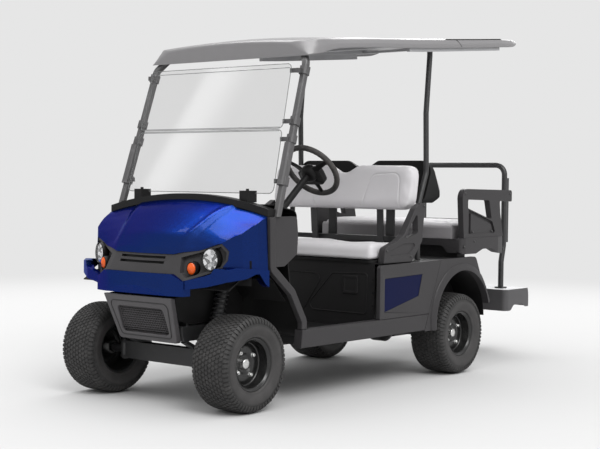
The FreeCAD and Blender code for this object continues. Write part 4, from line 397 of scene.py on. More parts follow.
@dataclass(frozen=True)
class ClearSheet(Finish):
    """Clear acrylic sheet: a grey tint with one slanting lighter band, a painted reflection."""

    painted_reflection: Colour = (0.95, 0.95, 0.95)
    alpha: float = 0.1
    slant: float = 0.53
    middle: float = -0.95

    def build(self, graph: Graph) -> bpy.types.Material:
        """The band is a painted reflection: a smooth bump of x less the slant times the height, broken up by slow
        noise.
        """
        where = graph.place()
        across = graph.axis(where, "X") - graph.axis(where, "Z") * self.slant - self.middle
        cloud = graph.noise(0.3, 2.0)
        reflection_band = across.smooth(-0.16, -0.04) - across.smooth(0.02, 0.3)
        mask = reflection_band * (0.75 + cloud * 0.25)
        # painted reflection: the base colour is lighter along the slanting band
        base = graph.mix(mask, self.colour, self.painted_reflection)
        return graph.principled(Base_Color=base, Roughness=0.03, Alpha=self.alpha + cloud * 0.02, IOR=1.49,
                                Specular_IOR_Level=0.5)


@dataclass(frozen=True)
class Backdrop(Finish):
    """Studio floor: takes the object's shadow near it and is plain further out."""

    centre: tuple[float, float] = (0.0, 0.0)
    near: float = 4.5
    far: float = 9.0
    albedo: float = 0.615

    def build(self, graph: Graph) -> bpy.types.Material:
        """Mixes a diffuse floor into a plain glow by distance from the object."""
        where = graph.place()
        x, y = graph.axis(where, "X"), graph.axis(where, "Y")
        mask = (x * x + y * y).root().smooth(self.near, self.far)
        tone = graph.mix(mask, (self.albedo,) * 3, self.colour)
        lit = graph.node("ShaderNodeBsdfDiffuse", None, {"Color": tone})
        glow = graph.node("ShaderNodeEmission", None, {"Color": tone, "Strength": 1.0})
        made = graph.node("ShaderNodeMixShader", None, {0: mask, 1: lit, 2: glow})
        graph.tree.links.new(made.socket, graph.output.inputs["Surface"])
        return graph.material


PAINT = MetallicPaint("blue_metallic", (0.007, 0.0235, 0.128))
NAVY = Moulding("navy_sheet", (0.0018, 0.0045, 0.04), 0.4, 0.0016, 0.00003, 0.1, 0.08)
DARK = Moulding("charcoal_moulding", (0.036, 0.034, 0.036), 0.5)
KICK = Moulding("kick_moulding", (0.017, 0.0165, 0.017), 0.48, 0.0014, 0.0001, 0.16, 0.16)
GRILLE_GREY = Moulding("grille_moulding", (0.082, 0.078, 0.082), 0.48)
GRILLE_DARK = Moulding("grille_line", (0.03, 0.029, 0.03), 0.5)
BLACK = Moulding("black_moulding", (0.0115, 0.0112, 0.0115), 0.46, 0.0014, 0.0001, 0.2, 0.16)
ROOF_SKIN = Moulding("roof_sheet", (0.215, 0.21, 0.215), 0.34, 0.0016, 0.00005, 0.06, 0.5)
PAN_GREY = Moulding("pan_moulding", (0.31, 0.298, 0.308), 0.5)
# painted shade: near-black finish for the sheet behind the grille and the line in the roof's vent slot; also the
# roof's dark seam
PAINTED_SHADE_AND_JOINT = Moulding("mesh_shadow", (0.012, 0.012, 0.012), 0.7, 0.002, 0.00004, 0.2, 0.1)
RAIL_SKIN = Moulding("rail_moulding", (0.34, 0.34, 0.35), 0.45)
STEEL = PowderCoat("black_powder_coat", (0.02, 0.02, 0.021))
STRUT = PowderCoat("strut_coat", (0.075, 0.073, 0.075), 0.4)
CHASSIS = PowderCoat("chassis_coat", (0.016, 0.016, 0.017), 0.5)
RIM_GLOSS = PowderCoat("rim_gloss", (0.01, 0.01, 0.01), 0.18)
ZINC = BareMetal("bright_zinc", (0.72, 0.72, 0.71))
ZINC_DARK = BareMetal("dark_zinc", (0.1, 0.1, 0.1), 0.35)
VINYL = Vinyl("light_grey_vinyl", (0.66, 0.645, 0.662))
RUBBER = Rubber("black_rubber", (0.022, 0.021, 0.021))
TREAD = Rubber("tread_rubber", (0.018, 0.0175, 0.0175), (0.04, 0.0385, 0.038), 0.6)
WALL = Rubber("sidewall_rubber", (0.03, 0.0285, 0.0285), (0.048, 0.045, 0.045), 0.55)
CHROME = Mirror("reflector", (0.9, 0.9, 0.92))
AMBER = LensPlastic("amber_lens", (0.4, 0.05, 0.004), 0.88)
CLEAR = LensPlastic("clear_lens", (0.95, 0.96, 0.97), 0.1)
SCREEN = ClearSheet("clear_sheet", (0.24, 0.24, 0.24))
EDGE = LensPlastic("sheet_edge", (0.16, 0.17, 0.17), 0.6)
DECK = TwoToneDeck("deck_moulding", (0.07, 0.068, 0.071))
MOTOR = Moulding("motor_enamel", (0.03, 0.03, 0.03), 0.5)
CASE = Moulding("battery_case", (0.05, 0.05, 0.05), 0.55)


# Mesh helpers

def unit(values: Array) -> Array:
    """Values cut off below 0 and above 1."""
    return np.clip(values, 0.0, 1.0)


def soft_step(values: Array) -> Array:
    """Smooth step of the values, cut off to 0 and 1: t ** 2 * (3 - 2 t)."""
    part = unit(values)
    return part ** 2 * (3 - 2 * part)


def ring_angles(steps: int) -> Array:
    """Even angles round a full turn."""
    return np.linspace(0.0, FULL_TURN, steps, endpoint=False)


def placed(name: str, data: bpy.types.ID) -> bpy.types.Object:
    """Puts new data into the scene as an object at the origin."""
    made = bpy.data.objects.new(name, data)
    bpy.context.scene.collection.objects.link(made)
    return made


def add_mesh(name: str, vertices: Array, faces: Iterable[Sequence[int]], finish: Finish | None = None,
             smooth: bool = True) -> bpy.types.Object:
    """Puts computed points and faces into one mesh object at the origin.

    Args:
        name: The piece's name.
        vertices: Points as an (n, 3) array, in metres.
        faces: Vertex numbers of each face.
        finish: Its finish.
        smooth: Whether its faces are shaded smooth.

    Returns:
        The new object.
    """
    mesh = bpy.data.meshes.new(name)
    mesh.from_pydata(np.asarray(vertices, float).reshape(-1, 3).tolist(), [], [list(face) for face in faces])
    mesh.update()
    mesh.polygons.foreach_set("use_smooth", np.full(len(mesh.polygons), smooth))
    if finish:
        mesh.materials.append(finish.make())
    return placed(name, mesh)


def grid_faces(rows: int, columns: int, wrap_rows: bool = False, wrap_columns: bool = False) -> Array:
    """Quads of a rows by columns grid of points; either way round may close on itself."""
    last_row = rows if wrap_rows else rows - 1
    last_column = columns if wrap_columns else columns - 1
    row, column = np.meshgrid(np.arange(last_row), np.arange(last_column), indexing="ij")
    after, beside = (row + 1) % rows, (column + 1) % columns
    quads = [row * columns + column, row * columns + beside, after * columns + beside, after * columns + column]
    return np.stack(quads, -1).reshape(-1, 4)


def tube_faces(rows: int, sides: int) -> list[list[int]]:
    """Quads of a tube made of rings of points, and the caps at its two ends."""
    caps = [list(range(sides)), list(range((rows - 1) * sides, rows * sides))]
    return grid_faces(rows, sides, False, True).tolist() + caps


def sheet_faces(rows: int, columns: int) -> list[list[int]]:
    """Faces of a closed sheet: the points of its front grid come first, those of its back grid follow."""
    count = rows * columns
    faces = grid_faces(rows, columns).tolist()
    faces += [[index + count for index in face[::-1]] for face in faces]
    edge = [*range(0, count, columns), *range(count - columns + 1, count),
            *range(count - 1 - columns, -1, -columns), *range(columns - 2, 0, -1)]
    return faces + [[one, other, other + count, one + count] for one, other in zip(edge, edge[1:] + edge[:1])]


def polar(centre: Sequence[float], side: int, x: Array, radius: Array, angle: Array) -> Array:
    """Points centre + (side x, radius cos angle, radius sin angle); the arrays are broadcast.

    Args:
        centre: A point on the axle.
        side: 1 or -1, the way that x counts along the axle.
        x: Distance along the axle.
        radius: Distance from the axle.
        angle: Angle round the axle.

    Returns:
        The points, with the three coordinates on the last axis.
    """
    return np.stack(np.broadcast_arrays(centre[0] + side * x, centre[1] + radius * np.cos(angle),
                                        centre[2] + radius * np.sin(angle)), -1)


def lathe(profile: Sequence[tuple[float, float]], centre: Sequence[float], side: int, steps: int = 96) -> Array:
    """Points of a profile (x, radius) turned about the X axis through centre, one row per angle."""
    marks = np.asarray(profile, float)
    return polar(centre, side, marks[:, 0], marks[:, 1], ring_angles(steps)[:, None])


def tube_points(path: Array, radius: float | Array, sides: int = 12) -> Array:
    """Circles of points round a path; the frame is carried along without twist.

    Args:
        path: Points along the middle of the tube.
        radius: One radius, or one for each point.
        sides: Points on each circle.

    Returns:
        An array of the path's length by sides by 3.
    """
    path = np.asarray(path, float)
    run = np.gradient(path, axis=0)
    run /= np.linalg.norm(run, axis=1, keepdims=True)
    start = np.cross(run[0], (0.0, 0.0, 1.0))
    if np.linalg.norm(start) < 0.2:
        start = np.cross(run[0], (0.0, 1.0, 0.0))
    across = np.empty_like(path)
    across[0] = start / np.linalg.norm(start)
    for index in range(1, len(path)):
        moved = across[index - 1] - run[index] * across[index - 1].dot(run[index])
        across[index] = moved / np.linalg.norm(moved)
    up = np.cross(run, across)
    angle = ring_angles(sides)
    reach = np.broadcast_to(np.asarray(radius, float).reshape(-1, 1, 1), (len(path), 1, 1))
    ring = across[:, None, :] * np.cos(angle)[None, :, None] + up[:, None, :] * np.sin(angle)[None, :, None]
    return path[:, None, :] + ring * reach


def add_tube(name: str, path: Array, radius: float | Array, finish: Finish, sides: int = 12,
             closed: bool = False) -> bpy.types.Object:
    """Round bar along a path of points, with closed ends unless the path is a ring.

    Args:
        name: The piece's name.
        path: Points along its middle.
        radius: One radius, or one for each point.
        finish: Its finish.
        sides: Points on each circle.
        closed: Whether the path runs back into its start.

    Returns:
        The new object.
    """
    points = tube_points(path, radius, sides)
    faces = grid_faces(len(points), sides, True, True) if closed else tube_faces(len(points), sides)
    return outward(add_mesh(name, points, faces, finish))


@contextmanager
def edited(mesh: bpy.types.Mesh) -> Iterator[bmesh.types.BMesh]:
    """Opens a mesh for editing and writes it back at the end."""
    work = bmesh.new()
    work.from_mesh(mesh)
    yield work
    work.to_mesh(mesh)
    work.free()


def outward(made: bpy.types.Object, weld: float = 0.0) -> bpy.types.Object:
    """Turns every face outwards on a closed piece, after merging points nearer than weld metres."""
    with edited(made.data) as work:
        if weld:
            bmesh.ops.remove_doubles(work, verts=work.verts, dist=weld)
        bmesh.ops.recalc_face_normals(work, faces=work.faces)
    return made


def merge(name: str, parts: Sequence[bpy.types.Object]) -> bpy.types.Object:
    """Joins pieces that ride together into one object, keeping their materials.

    Args:
        name: The new piece's name.
        parts: The pieces, which are deleted.

    Returns:
        The joined object.
    """
    work = bmesh.new()
    materials: list[bpy.types.Material] = []
    for part in parts:
        first = len(work.faces)
        work.from_mesh(part.data)
        work.faces.ensure_lookup_table()
        slots = list(part.data.materials)
        for material in slots:
            if material not in materials:
                materials.append(material)
        for index in range(first, len(work.faces)):
            face = work.faces[index]
            face.material_index = materials.index(slots[face.material_index]) if slots else 0
    mesh = bpy.data.meshes.new(name)
    work.to_mesh(mesh)
    work.free()
    for material in materials:
        mesh.materials.append(material)
    for part in parts:
        old = part.data
        bpy.data.objects.remove(part)
        bpy.data.meshes.remove(old)
    return placed(name, mesh)


def smooth_all(made: bpy.types.Object) -> None:
    """Shades every face smooth."""
    made.data.polygons.foreach_set("use_smooth", np.ones(len(made.data.polygons), bool))


def modifier(made: bpy.types.Object, kind: str, **settings: object) -> bpy.types.Modifier:
    """Adds a modifier with its settings."""
    added = made.modifiers.new(kind.title().replace("_", ""), kind)
    for key, value in settings.items():
        setattr(added, key, value)
    return added


def apply_modifiers(made: bpy.types.Object) -> bpy.types.Object:
    """Replaces the mesh by its evaluated form."""
    graph = bpy.context.evaluated_depsgraph_get()
    mesh = bpy.data.meshes.new_from_object(made.evaluated_get(graph))
    old = made.data
    made.modifiers.clear()
    made.data = mesh
    bpy.data.meshes.remove(old)
    return made


def fitted(name: str, body: str, slot: str, *nodes: str) -> None:
    """Makes a piece ride on a body and stand for CAD nodes, which are hidden.

    Args:
        name: The piece's name.
        body: The body that it rides on.
        slot: Its material slot in the record; not used.
        nodes: The CAD nodes that it replaces, if any.
    """
    made = bpy.data.objects[name]
    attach(made, body)
    if nodes:
        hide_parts(*nodes)
    LOG.info("%s rides on %s", name, body)


@dataclass(frozen=True)
class Dressing:
    """How a rigid CAD node is shown: its finish, its eased edges and its crease angle."""

    finish: Finish
    ease: float = 0.0016
    crease: float = 32.0
    segments: int = 2


def slot_of(node: str) -> str:
    """The record's material slot of a node."""
    return next(part["material_slot"] for part in frame["record"]["subparts"] if part["node"] == node)


def welded(node: str, name: str, finish: Finish, flat: float = 0.0, crease: float = 180.0,
           cuts: Sequence[tuple] = ()) -> bpy.types.Object:
    """A copy of a node with merged points, flat neighbours joined into one face, and marked creases.

    Args:
        node: The CAD node.
        name: The copy's name.
        finish: Its finish.
        flat: Angle in degrees below which neighbours are joined.
        crease: Angle in degrees from which an edge is sharp.
        cuts: Planes as (point, normal) that cut it into a net.

    Returns:
        The copy, not yet declared.
    """
    mesh = frame["nodes"][node].data.copy()
    limit = math.radians(crease)
    with edited(mesh) as work:
        bmesh.ops.remove_doubles(work, verts=work.verts, dist=WELD)
        if flat:
            bmesh.ops.dissolve_limit(work, angle_limit=math.radians(flat), verts=work.verts, edges=work.edges)
        for place, normal in cuts:
            everything = work.verts[:] + work.edges[:] + work.faces[:]
            bmesh.ops.bisect_plane(work, geom=everything, plane_co=place, plane_no=normal, dist=1e-5)
        for face in work.faces:
            face.smooth = True
        for edge in work.edges:
            edge.smooth = len(edge.link_faces) == 2 and edge.calc_face_angle(0.0) < limit
    mesh.materials.clear()
    mesh.materials.append(finish.make())
    return placed(name, mesh)


def eased_copy(node: str, dressing: Dressing) -> bpy.types.Object:
    """A copy of a node whose edges past the crease angle get a small round.

    Args:
        node: The CAD node.
        dressing: Its finish and its easing.

    Returns:
        The copy, which rides on the node's body and stands for it.
    """
    made = welded(node, node + "_skin", dressing.finish, 0.6, dressing.crease)
    modifier(made, "BEVEL", width=dressing.ease, segments=dressing.segments, limit_method="ANGLE",
             angle_limit=math.radians(dressing.crease), harden_normals=True, use_clamp_overlap=True,
             miter_outer="MITER_ARC")
    fitted(made.name, BODY_OF[node], slot_of(node), node)
    return made


def pchip(marks: Sequence[tuple[float, ...]], at: Array) -> Array:
    """Smooth curve through marks (place, values...) with no overshoot, read at places.

    Each span is a cubic whose end slopes are the harmonic means of the chords beside them.

    Args:
        marks: The marks, in rising order of place.
        at: The places, held within the marks.

    Returns:
        One row per place, one column per value.
    """
    table = np.asarray(marks, float)
    place, value = table[:, 0], table[:, 1:]
    step = np.diff(place)[:, None]
    chord = np.diff(value, axis=0) / step
    slope = np.zeros_like(value)
    before, after = chord[:-1], chord[1:]
    same = before * after > 0
    slope[1:-1] = np.where(same, 2 * before * after / np.where(same, before + after, 1.0), 0.0)
    slope[0], slope[-1] = chord[0], chord[-1]
    at = np.clip(np.asarray(at, float), place[0], place[-1])
    index = np.clip(np.searchsorted(place, at, side="right") - 1, 0, len(place) - 2)
    width = step[index]
    part = ((at - place[index])[:, None]) / width
    square, cube = part ** 2, part ** 3
    return ((2 * cube - 3 * square + 1) * value[index] + (cube - 2 * square + part) * width * slope[index]
            + (3 * square - 2 * cube) * value[index + 1] + (cube - square) * width * slope[index + 1])


def rounded_loop(points: Sequence[tuple[float, float, float]], steps: int = 6) -> Array:
    """Closed outline whose corners (u, v, radius) are arcs of a few steps.

    Each corner's arc touches both neighbours at radius / tan(half angle) from the corner.

    Args:
        points: The corners in order.
        steps: Steps along each arc.

    Returns:
        The outline's points, (n, 2).
    """
    marks = np.asarray(points, float)
    corner = marks[:, :2]
    back, ahead = np.roll(corner, 1, 0) - corner, np.roll(corner, -1, 0) - corner
    back /= np.linalg.norm(back, axis=1, keepdims=True)
    ahead /= np.linalg.norm(ahead, axis=1, keepdims=True)
    half = np.arccos(np.clip((back * ahead).sum(1), -1.0, 1.0)) / 2
    radius = np.maximum(marks[:, 2], 1e-5)
    middle = back + ahead
    middle /= np.linalg.norm(middle, axis=1, keepdims=True)
    centre = corner + middle * (radius / np.sin(half))[:, None]
    first = corner + back * (radius / np.tan(half))[:, None] - centre
    last = corner + ahead * (radius / np.tan(half))[:, None] - centre
    share = np.linspace(0.0, 1.0, steps + 1)[None, :, None]
    turn = (math.pi - 2 * half)[:, None, None]
    weight = np.sin((1 - share) * turn), np.sin(share * turn)
    arc = (weight[0] * first[:, None] + weight[1] * last[:, None]) / np.sin(turn)
    return (centre[:, None] + arc).reshape(-1, 2)


def resample(path: Array, count: int, closed: bool = False) -> Array:
    """Points at even steps along a line of points, or round a loop of them."""
    path = np.asarray(path, float)
    if closed:
        path = np.vstack([path, path[:1]])
    length = np.concatenate([[0.0], np.cumsum(np.linalg.norm(np.diff(path, axis=0), axis=1))])
    wanted = np.linspace(0.0, length[-1], count, endpoint=not closed)
    return np.stack([np.interp(wanted, length, path[:, axis]) for axis in range(path.shape[1])], -1)


def polyline(marks: Sequence[tuple[float, ...]], steps: int = 8) -> Array:
    """Open line through marks (u, v, bend) with rounded inner corners.

    Each bend is a quadratic curve that leaves and meets its runs at the bend's length from the corner.

    Args:
        marks: The marks in order; the bends of the first and the last aren't read.
        steps: Points on each bend.

    Returns:
        The line's points, (n, 2).
    """
    marks = [np.array(mark, float) for mark in marks]
    line = [marks[0][:2]]
    share = np.linspace(0.0, 1.0, steps)[:, None]
    for before, here, after in zip(marks, marks[1:], marks[2:]):
        corner, bend = here[:2], here[2]
        back, ahead = before[:2] - corner, after[:2] - corner
        start = corner + back * min(0.5, bend / np.linalg.norm(back))
        end = corner + ahead * min(0.5, bend / np.linalg.norm(ahead))
        line += list((1 - share) ** 2 * start + 2 * share * (1 - share) * corner + share ** 2 * end)
    line.append(marks[-1][:2])
    return np.array(line)


def spun_piece(profile: Sequence[tuple[float, float]], centre: Sequence[float], way: Sequence[float],
               finish: Finish, steps: int = 48, squash: float = 1.0, smooth: bool = True) -> bpy.types.Object:
    """Closed piece turned about a slanting axis; the ends of its profile are capped.

    The point at angle t is centre + way * height + radius * (squash * across * cos t + up * sin t).

    Args:
        profile: Marks (height along the axis, radius).
        centre: The axis's point at height 0.
        way: The axis's direction.
        finish: The piece's finish.
        steps: Points on each circle.
        squash: Width of the circles as a share of their height.
        smooth: Whether its faces are shaded smooth.

    Returns:
        The new object.
    """
    marks = np.asarray(profile, float)
    axis = np.asarray(way, float)
    axis = axis / np.linalg.norm(axis)
    across = np.cross((0.0, 0.0, 1.0), axis) if abs(axis[2]) < 0.9 else np.array([1.0, 0.0, 0.0])
    across = across / np.linalg.norm(across)
    up = np.cross(axis, across)
    angle = ring_angles(steps)[:, None, None]
    ring = squash * across * np.cos(angle) + up * np.sin(angle)
    points = np.asarray(centre, float) + axis * marks[None, :, :1] + ring * marks[None, :, 1:]
    count = len(marks)
    faces = grid_faces(steps, count, True).tolist()
    faces += [list(range(0, steps * count, count)), list(range(count - 1, steps * count, count))]
    return outward(add_mesh("turned", points, faces, finish, smooth))


def four_sided(foot: tuple[float, float, float], head: tuple[float, float, float], steps: int,
               count: int) -> Array:
    """Even points round a four-sided outline with rounded corners, the same on both sides of u = 0.

    Args:
        foot: Half width, height and corner radius of its lower side.
        head: The same of its upper side.
        steps: Steps along each corner's arc.
        count: Number of points.

    Returns:
        The outline's points, (n, 2).
    """
    corners = [(sign * half, height, corner) for (half, height, corner), signs in ((foot, (-1, 1)), (head, (1, -1)))
               for sign in signs]
    return resample(rounded_loop(corners, steps), count, True)


def coordinates(made: bpy.types.Object) -> Array:
    """Vertex positions of a mesh object."""
    found = np.empty(len(made.data.vertices) * 3, np.float32)
    made.data.vertices.foreach_get("co", found)
    return found.reshape(-1, 3).astype(float)


def move_to(made: bpy.types.Object, points: Array) -> None:
    """Writes vertex positions back."""
    made.data.vertices.foreach_set("co", np.asarray(points, np.float32).ravel())
    made.data.update()


def raise_by(made: bpy.types.Object, amount: Array) -> None:
    """Raises each vertex by its amount."""
    points = coordinates(made)
    points[:, 2] += amount
    move_to(made, points)


# Camera, light and floor

def compass(azimuth: float, elevation: float) -> Vector:
    """Unit vector to a place round from the front and above the level, both in degrees."""
    turn, rise = math.radians(azimuth), math.radians(elevation)
    return Vector((math.sin(turn) * math.cos(rise), -math.cos(turn) * math.cos(rise), math.sin(rise)))


def aimed(made: bpy.types.Object, back: Vector) -> None:
    """Turns a lamp so that it shines away from a direction."""
    made.rotation_mode = "QUATERNION"
    made.rotation_quaternion = back.to_track_quat("Z", "Y")


@dataclass
class Studio:
    """Camera as in the photograph, plain soft light and a pale floor.

    Args:
        target: The point that the camera looks at.
        azimuth: The camera's direction, round from the front, in degrees.
        elevation: Its height above the level, in degrees.
        distance: Its distance from the target, in metres.
        roll: Its tilt, in degrees.
        lens: Its focal length, in millimetres.
        pale: The backdrop's grey.
        ambient: The soft light's grey at the horizon.
        zenith: The soft light's grey overhead.
        spread: Width of the suns, in degrees.
        panels: Per gloss panel its name, place, aim, width, height and power.
        rings: Radii of the floor's rings, in metres.
    """

    target: tuple[float, float, float] = (-0.2386, FRONT_Y + 1.3952, 0.9268)
    azimuth: float = 39.17
    elevation: float = 1.93
    distance: float = 8.3005
    roll: float = 0.629
    lens: float = 78.13
    pale: float = 0.791
    ambient: float = 0.42
    zenith: float = 1.35
    spread: float = 30.0
    panels: tuple[tuple, ...] = (
        ("gloss_back", (-2.6, 6.2, 4.4), (0.2, -0.9, 0.9), 3.4, 2.0, 110.0),
        ("gloss_top", (1.6, -0.6, 4.6), (0.4, -1.2, 0.9), 2.6, 1.6, 70.0),
        ("gloss_hood", (-1.5, -0.9, 5.0), (0.48, -1.35, 1.0), 2.0, 2.1, 88.0),
        ("gloss_over", (0.5, -1.9, 5.2), (0.5, -1.4, 1.0), 1.8, 1.8, 60.0),
        ("gloss_side", (6.0, -1.0, 3.4), (0.3, -0.6, 0.8), 4.5, 0.8, 50.0))
    rings: tuple[float, ...] = (1.0, 2.0, 3.0, 4.5, 6.0, 9.0, 14.0, 25.0, 60.0)

    def build(self) -> None:
        """Makes the camera, the lamps, the world and the floor."""
        self.camera()
        self.world()
        self.lamps()
        self.floor()
        bpy.context.scene.view_settings.view_transform = "Standard"

    def camera(self) -> None:
        """Places the camera on its orbit and rolls it."""
        turn = math.radians(self.azimuth)
        back = compass(self.azimuth, self.elevation)
        right = Vector((math.cos(turn), math.sin(turn), 0.0))
        up = back.cross(right)
        tip = math.radians(self.roll)
        across = right * math.cos(tip) + up * math.sin(tip)
        above = up * math.cos(tip) - right * math.sin(tip)
        data = bpy.data.cameras.new("camera")
        data.sensor_width = 36.0
        data.lens = self.lens
        data.clip_end = 200.0
        made = placed("camera", data)
        made.matrix_world = Matrix((across, above, back)).transposed().to_4x4()
        made.location = Vector(self.target) + back * self.distance
        bpy.context.scene.camera = made

    def world(self) -> None:
        """Soft light that is stronger from above; camera, gloss and clear sheet see the pale backdrop."""
        made = bpy.data.worlds.new("studio")
        bpy.context.scene.world = made
        made.use_nodes = True
        made.node_tree.nodes.clear()
        graph = Graph("", made.node_tree)
        path = graph.tree.nodes.new("ShaderNodeLightPath")
        direction = graph.node("ShaderNodeTexCoord", output="Generated")
        soft = graph.mix(graph.axis(direction, "Z").smooth(0.0, 0.75), (self.ambient,) * 3, (self.zenith,) * 3)
        seen = (Link(graph, path.outputs["Is Camera Ray"]) + Link(graph, path.outputs["Is Transmission Ray"])
                + Link(graph, path.outputs["Is Glossy Ray"]))
        shown = graph.mix(seen, soft, (self.pale,) * 3)
        light = graph.node("ShaderNodeBackground", None, {"Color": shown})
        graph.tree.links.new(light.socket, graph.output.inputs["Surface"])

    def lamps(self) -> None:
        """A large soft key from the front left, a fill from behind and the gloss panels."""
        for name, strength, azimuth, elevation in (("key", 1.25, 66.0, 46.0), ("back", 0.35, 205.0, 50.0)):
            self.sun(name, strength, azimuth, elevation)
        for name, place, aim, width, height, power in self.panels:
            self.panel(name, place, aim, width, height, power)

    def sun(self, name: str, strength: float, azimuth: float, elevation: float) -> None:
        """Sun lamp that shines from a compass direction and height."""
        data = bpy.data.lights.new(name, "SUN")
        data.energy = strength
        data.angle = math.radians(self.spread)
        aimed(placed(name, data), compass(azimuth, elevation))

    def panel(self, name: str, place: Sequence[float], aim: Sequence[float], width: float, height: float,
              power: float) -> None:
        """Area lamp that only gloss sees.

        Args:
            name: The lamp's name.
            place: Its middle.
            aim: The point that it shines at.
            width: Its width in metres.
            height: Its height in metres.
            power: Its power in watts.
        """
        data = bpy.data.lights.new(name, "AREA")
        data.shape = "RECTANGLE"
        data.size, data.size_y = width, height
        data.energy = power
        made = placed(name, data)
        made.visible_diffuse = False
        made.visible_transmission = False
        made.location = place
        aimed(made, Vector(place) - Vector(aim))

    def floor(self) -> None:
        """Wide flat disc under the wheels, in rings so that its far part glows plainly."""
        steps = 64
        radius, angle = np.meshgrid(self.rings, ring_angles(steps), indexing="ij")
        points = np.stack([radius * np.cos(angle), radius * np.sin(angle), np.zeros_like(radius)], -1)
        faces = grid_faces(len(self.rings), steps, False, True).tolist() + [list(range(steps))]
        made = add_mesh("studio_floor", points, faces, Backdrop("studio_floor", (self.pale,) * 3))
        outward(made)


# Wheels

@dataclass
class Wheel:
    """Turf tyre on a deep-dish steel rim; its sections are marks (distance along the axle, radius).

    Args:
        corner: Which wheel, as in its nodes' names.
        side: The side of the cart that its outer face looks to.
        radius: The tyre's outer radius.
        tread: Section of the carcass under the lugs.
        wall: Section of the outer wall, from the tread to the bead.
        rows: Distance along the axle of each row of lugs.
        pitches: Lugs in each row.
        lug: Height of a lug.
        plan: Corners of a lug, as shares of its half sizes.
        half: Half sizes of a lug along the axle and round the tyre.
        bars: Per mark of a shoulder bar its distance along the axle, height and half width.
        outer: Section of the rim's outer half.
        inner: Section of its disc.
        bolts: Number of nuts, their distance along the axle, the radius of their circle and its first angle.
        nut: Section of a nut with its stud.
        cap: Section of the hub cap.
    """

    corner: str
    side: Side
    radius: float = 0.254
    tread: Marks = (
        (-0.1195, 0.201), (-0.118, 0.215), (-0.113, 0.229), (-0.104, 0.2385), (-0.09, 0.2435),
        (-0.045, 0.247), (0.0, 0.2482), (0.045, 0.247), (0.09, 0.2435), (0.104, 0.2385), (0.113, 0.229),
        (0.118, 0.215), (0.1195, 0.201))
    wall: Marks = (
        (0.1195, 0.201), (0.1188, 0.196), (0.1194, 0.1915), (0.1184, 0.185), (0.115, 0.172), (0.11, 0.159),
        (0.1065, 0.1535), (0.107, 0.149), (0.104, 0.144), (0.099, 0.1412), (0.0915, 0.1406), (0.0855, 0.1276))
    rows: tuple[float, ...] = (-0.0905, -0.068, -0.0453, -0.0226, 0.0, 0.0226, 0.0453, 0.068, 0.0905)
    pitches: int = 62
    lug: float = 0.0058
    plan: Marks = (
        (-1.0, -0.45), (-0.15, -0.95), (1.0, -0.55), (1.0, 0.45), (0.15, 0.95), (-1.0, 0.55))
    half: tuple[float, float] = (0.01, 0.0112)
    bars: Marks = (
        (0.1005, 0.0048, 0.0088), (0.1075, 0.0052, 0.009), (0.1135, 0.0046, 0.0086), (0.1168, 0.003, 0.0078),
        (0.1182, 0.0004, 0.0066))
    outer: Marks = (
        (0.098, 0.134), (0.0985, 0.1385), (0.0972, 0.14), (0.0935, 0.14), (0.0915, 0.1385), (0.0885, 0.129),
        (0.085, 0.1272), (-0.085, 0.1272), (-0.0885, 0.129), (-0.0915, 0.1385), (-0.0935, 0.14),
        (-0.0972, 0.14), (-0.0985, 0.1385), (-0.098, 0.134), (-0.094, 0.131), (-0.0905, 0.122),
        (-0.086, 0.1205), (0.012, 0.1205), (0.018, 0.119), (0.02, 0.115))
    inner: Marks = (
        (0.02, 0.099), (0.0225, 0.096), (0.027, 0.093), (0.029, 0.088), (0.029, 0.056), (0.027, 0.053),
        (0.02, 0.05), (0.02, 0.042), (-0.044, 0.042), (-0.044, 0.0164), (0.026, 0.0164), (0.028, 0.033),
        (0.0285, 0.042), (0.03, 0.048), (0.0365, 0.054), (0.0385, 0.06), (0.0385, 0.088), (0.037, 0.096),
        (0.033, 0.102), (0.03, 0.106), (0.0295, 0.113), (0.032, 0.118), (0.038, 0.1205), (0.086, 0.1205),
        (0.0905, 0.122), (0.094, 0.131))
    bolts: tuple[int, float, float, float] = (4, 0.0385, 0.072, 0.6)
    nut: Marks = (
        (-0.002, 0.0125), (0.002, 0.0125), (0.003, 0.0108), (0.012, 0.0108), (0.0135, 0.0092), (0.0135, 0.0052),
        (0.015, 0.0048), (0.018, 0.0044))
    cap: Marks = (
        (0.027, 0.03), (0.031, 0.0305), (0.033, 0.029), (0.048, 0.027), (0.0505, 0.0255), (0.052, 0.02),
        (0.053, 0.01), (0.0532, 0.0002))

    @property
    def centre(self) -> Sequence[float]:
        """The wheel's middle, where its joint is."""
        return JOINTS[self.corner + "_spin"]["pos_m"]

    def build(self) -> None:
        """Makes the tyre and the rim of this corner."""
        body = JOINTS[self.corner + "_spin"]["child"]
        self.tyre()
        fitted("tyre_skin_" + self.corner, body, "tyre_rubber", "tyre_" + self.corner)
        self.rim()
        fitted("rim_skin_" + self.corner, body, "black_steel", "rim_" + self.corner)

    def tyre(self) -> None:
        """Carcass turned from its section, and lugs set round it."""
        stations, steps = 25, 128
        mark = np.linspace(self.tread[0][0], self.tread[-1][0], stations)
        crown = np.stack([mark, pchip(self.tread, mark)[:, 0]], -1)
        wall = np.array(self.wall)
        seat = wall[-1:] * np.array([(-1, 1), (1, 1)])
        parts = [outward(add_mesh("tread", lathe(crown, self.centre, self.side.value, steps),
                                  grid_faces(steps, stations, True), TREAD))]
        for section in (wall, wall * (-1, 1), seat):
            ring = lathe(section, self.centre, self.side.value, steps)
            parts.append(add_mesh("wall", ring, grid_faces(steps, len(section), True), WALL))
        carcass = outward(merge("carcass", parts), 1e-5)
        merge("tyre_skin_" + self.corner, [carcass, self.lugs(), self.shoulder()])

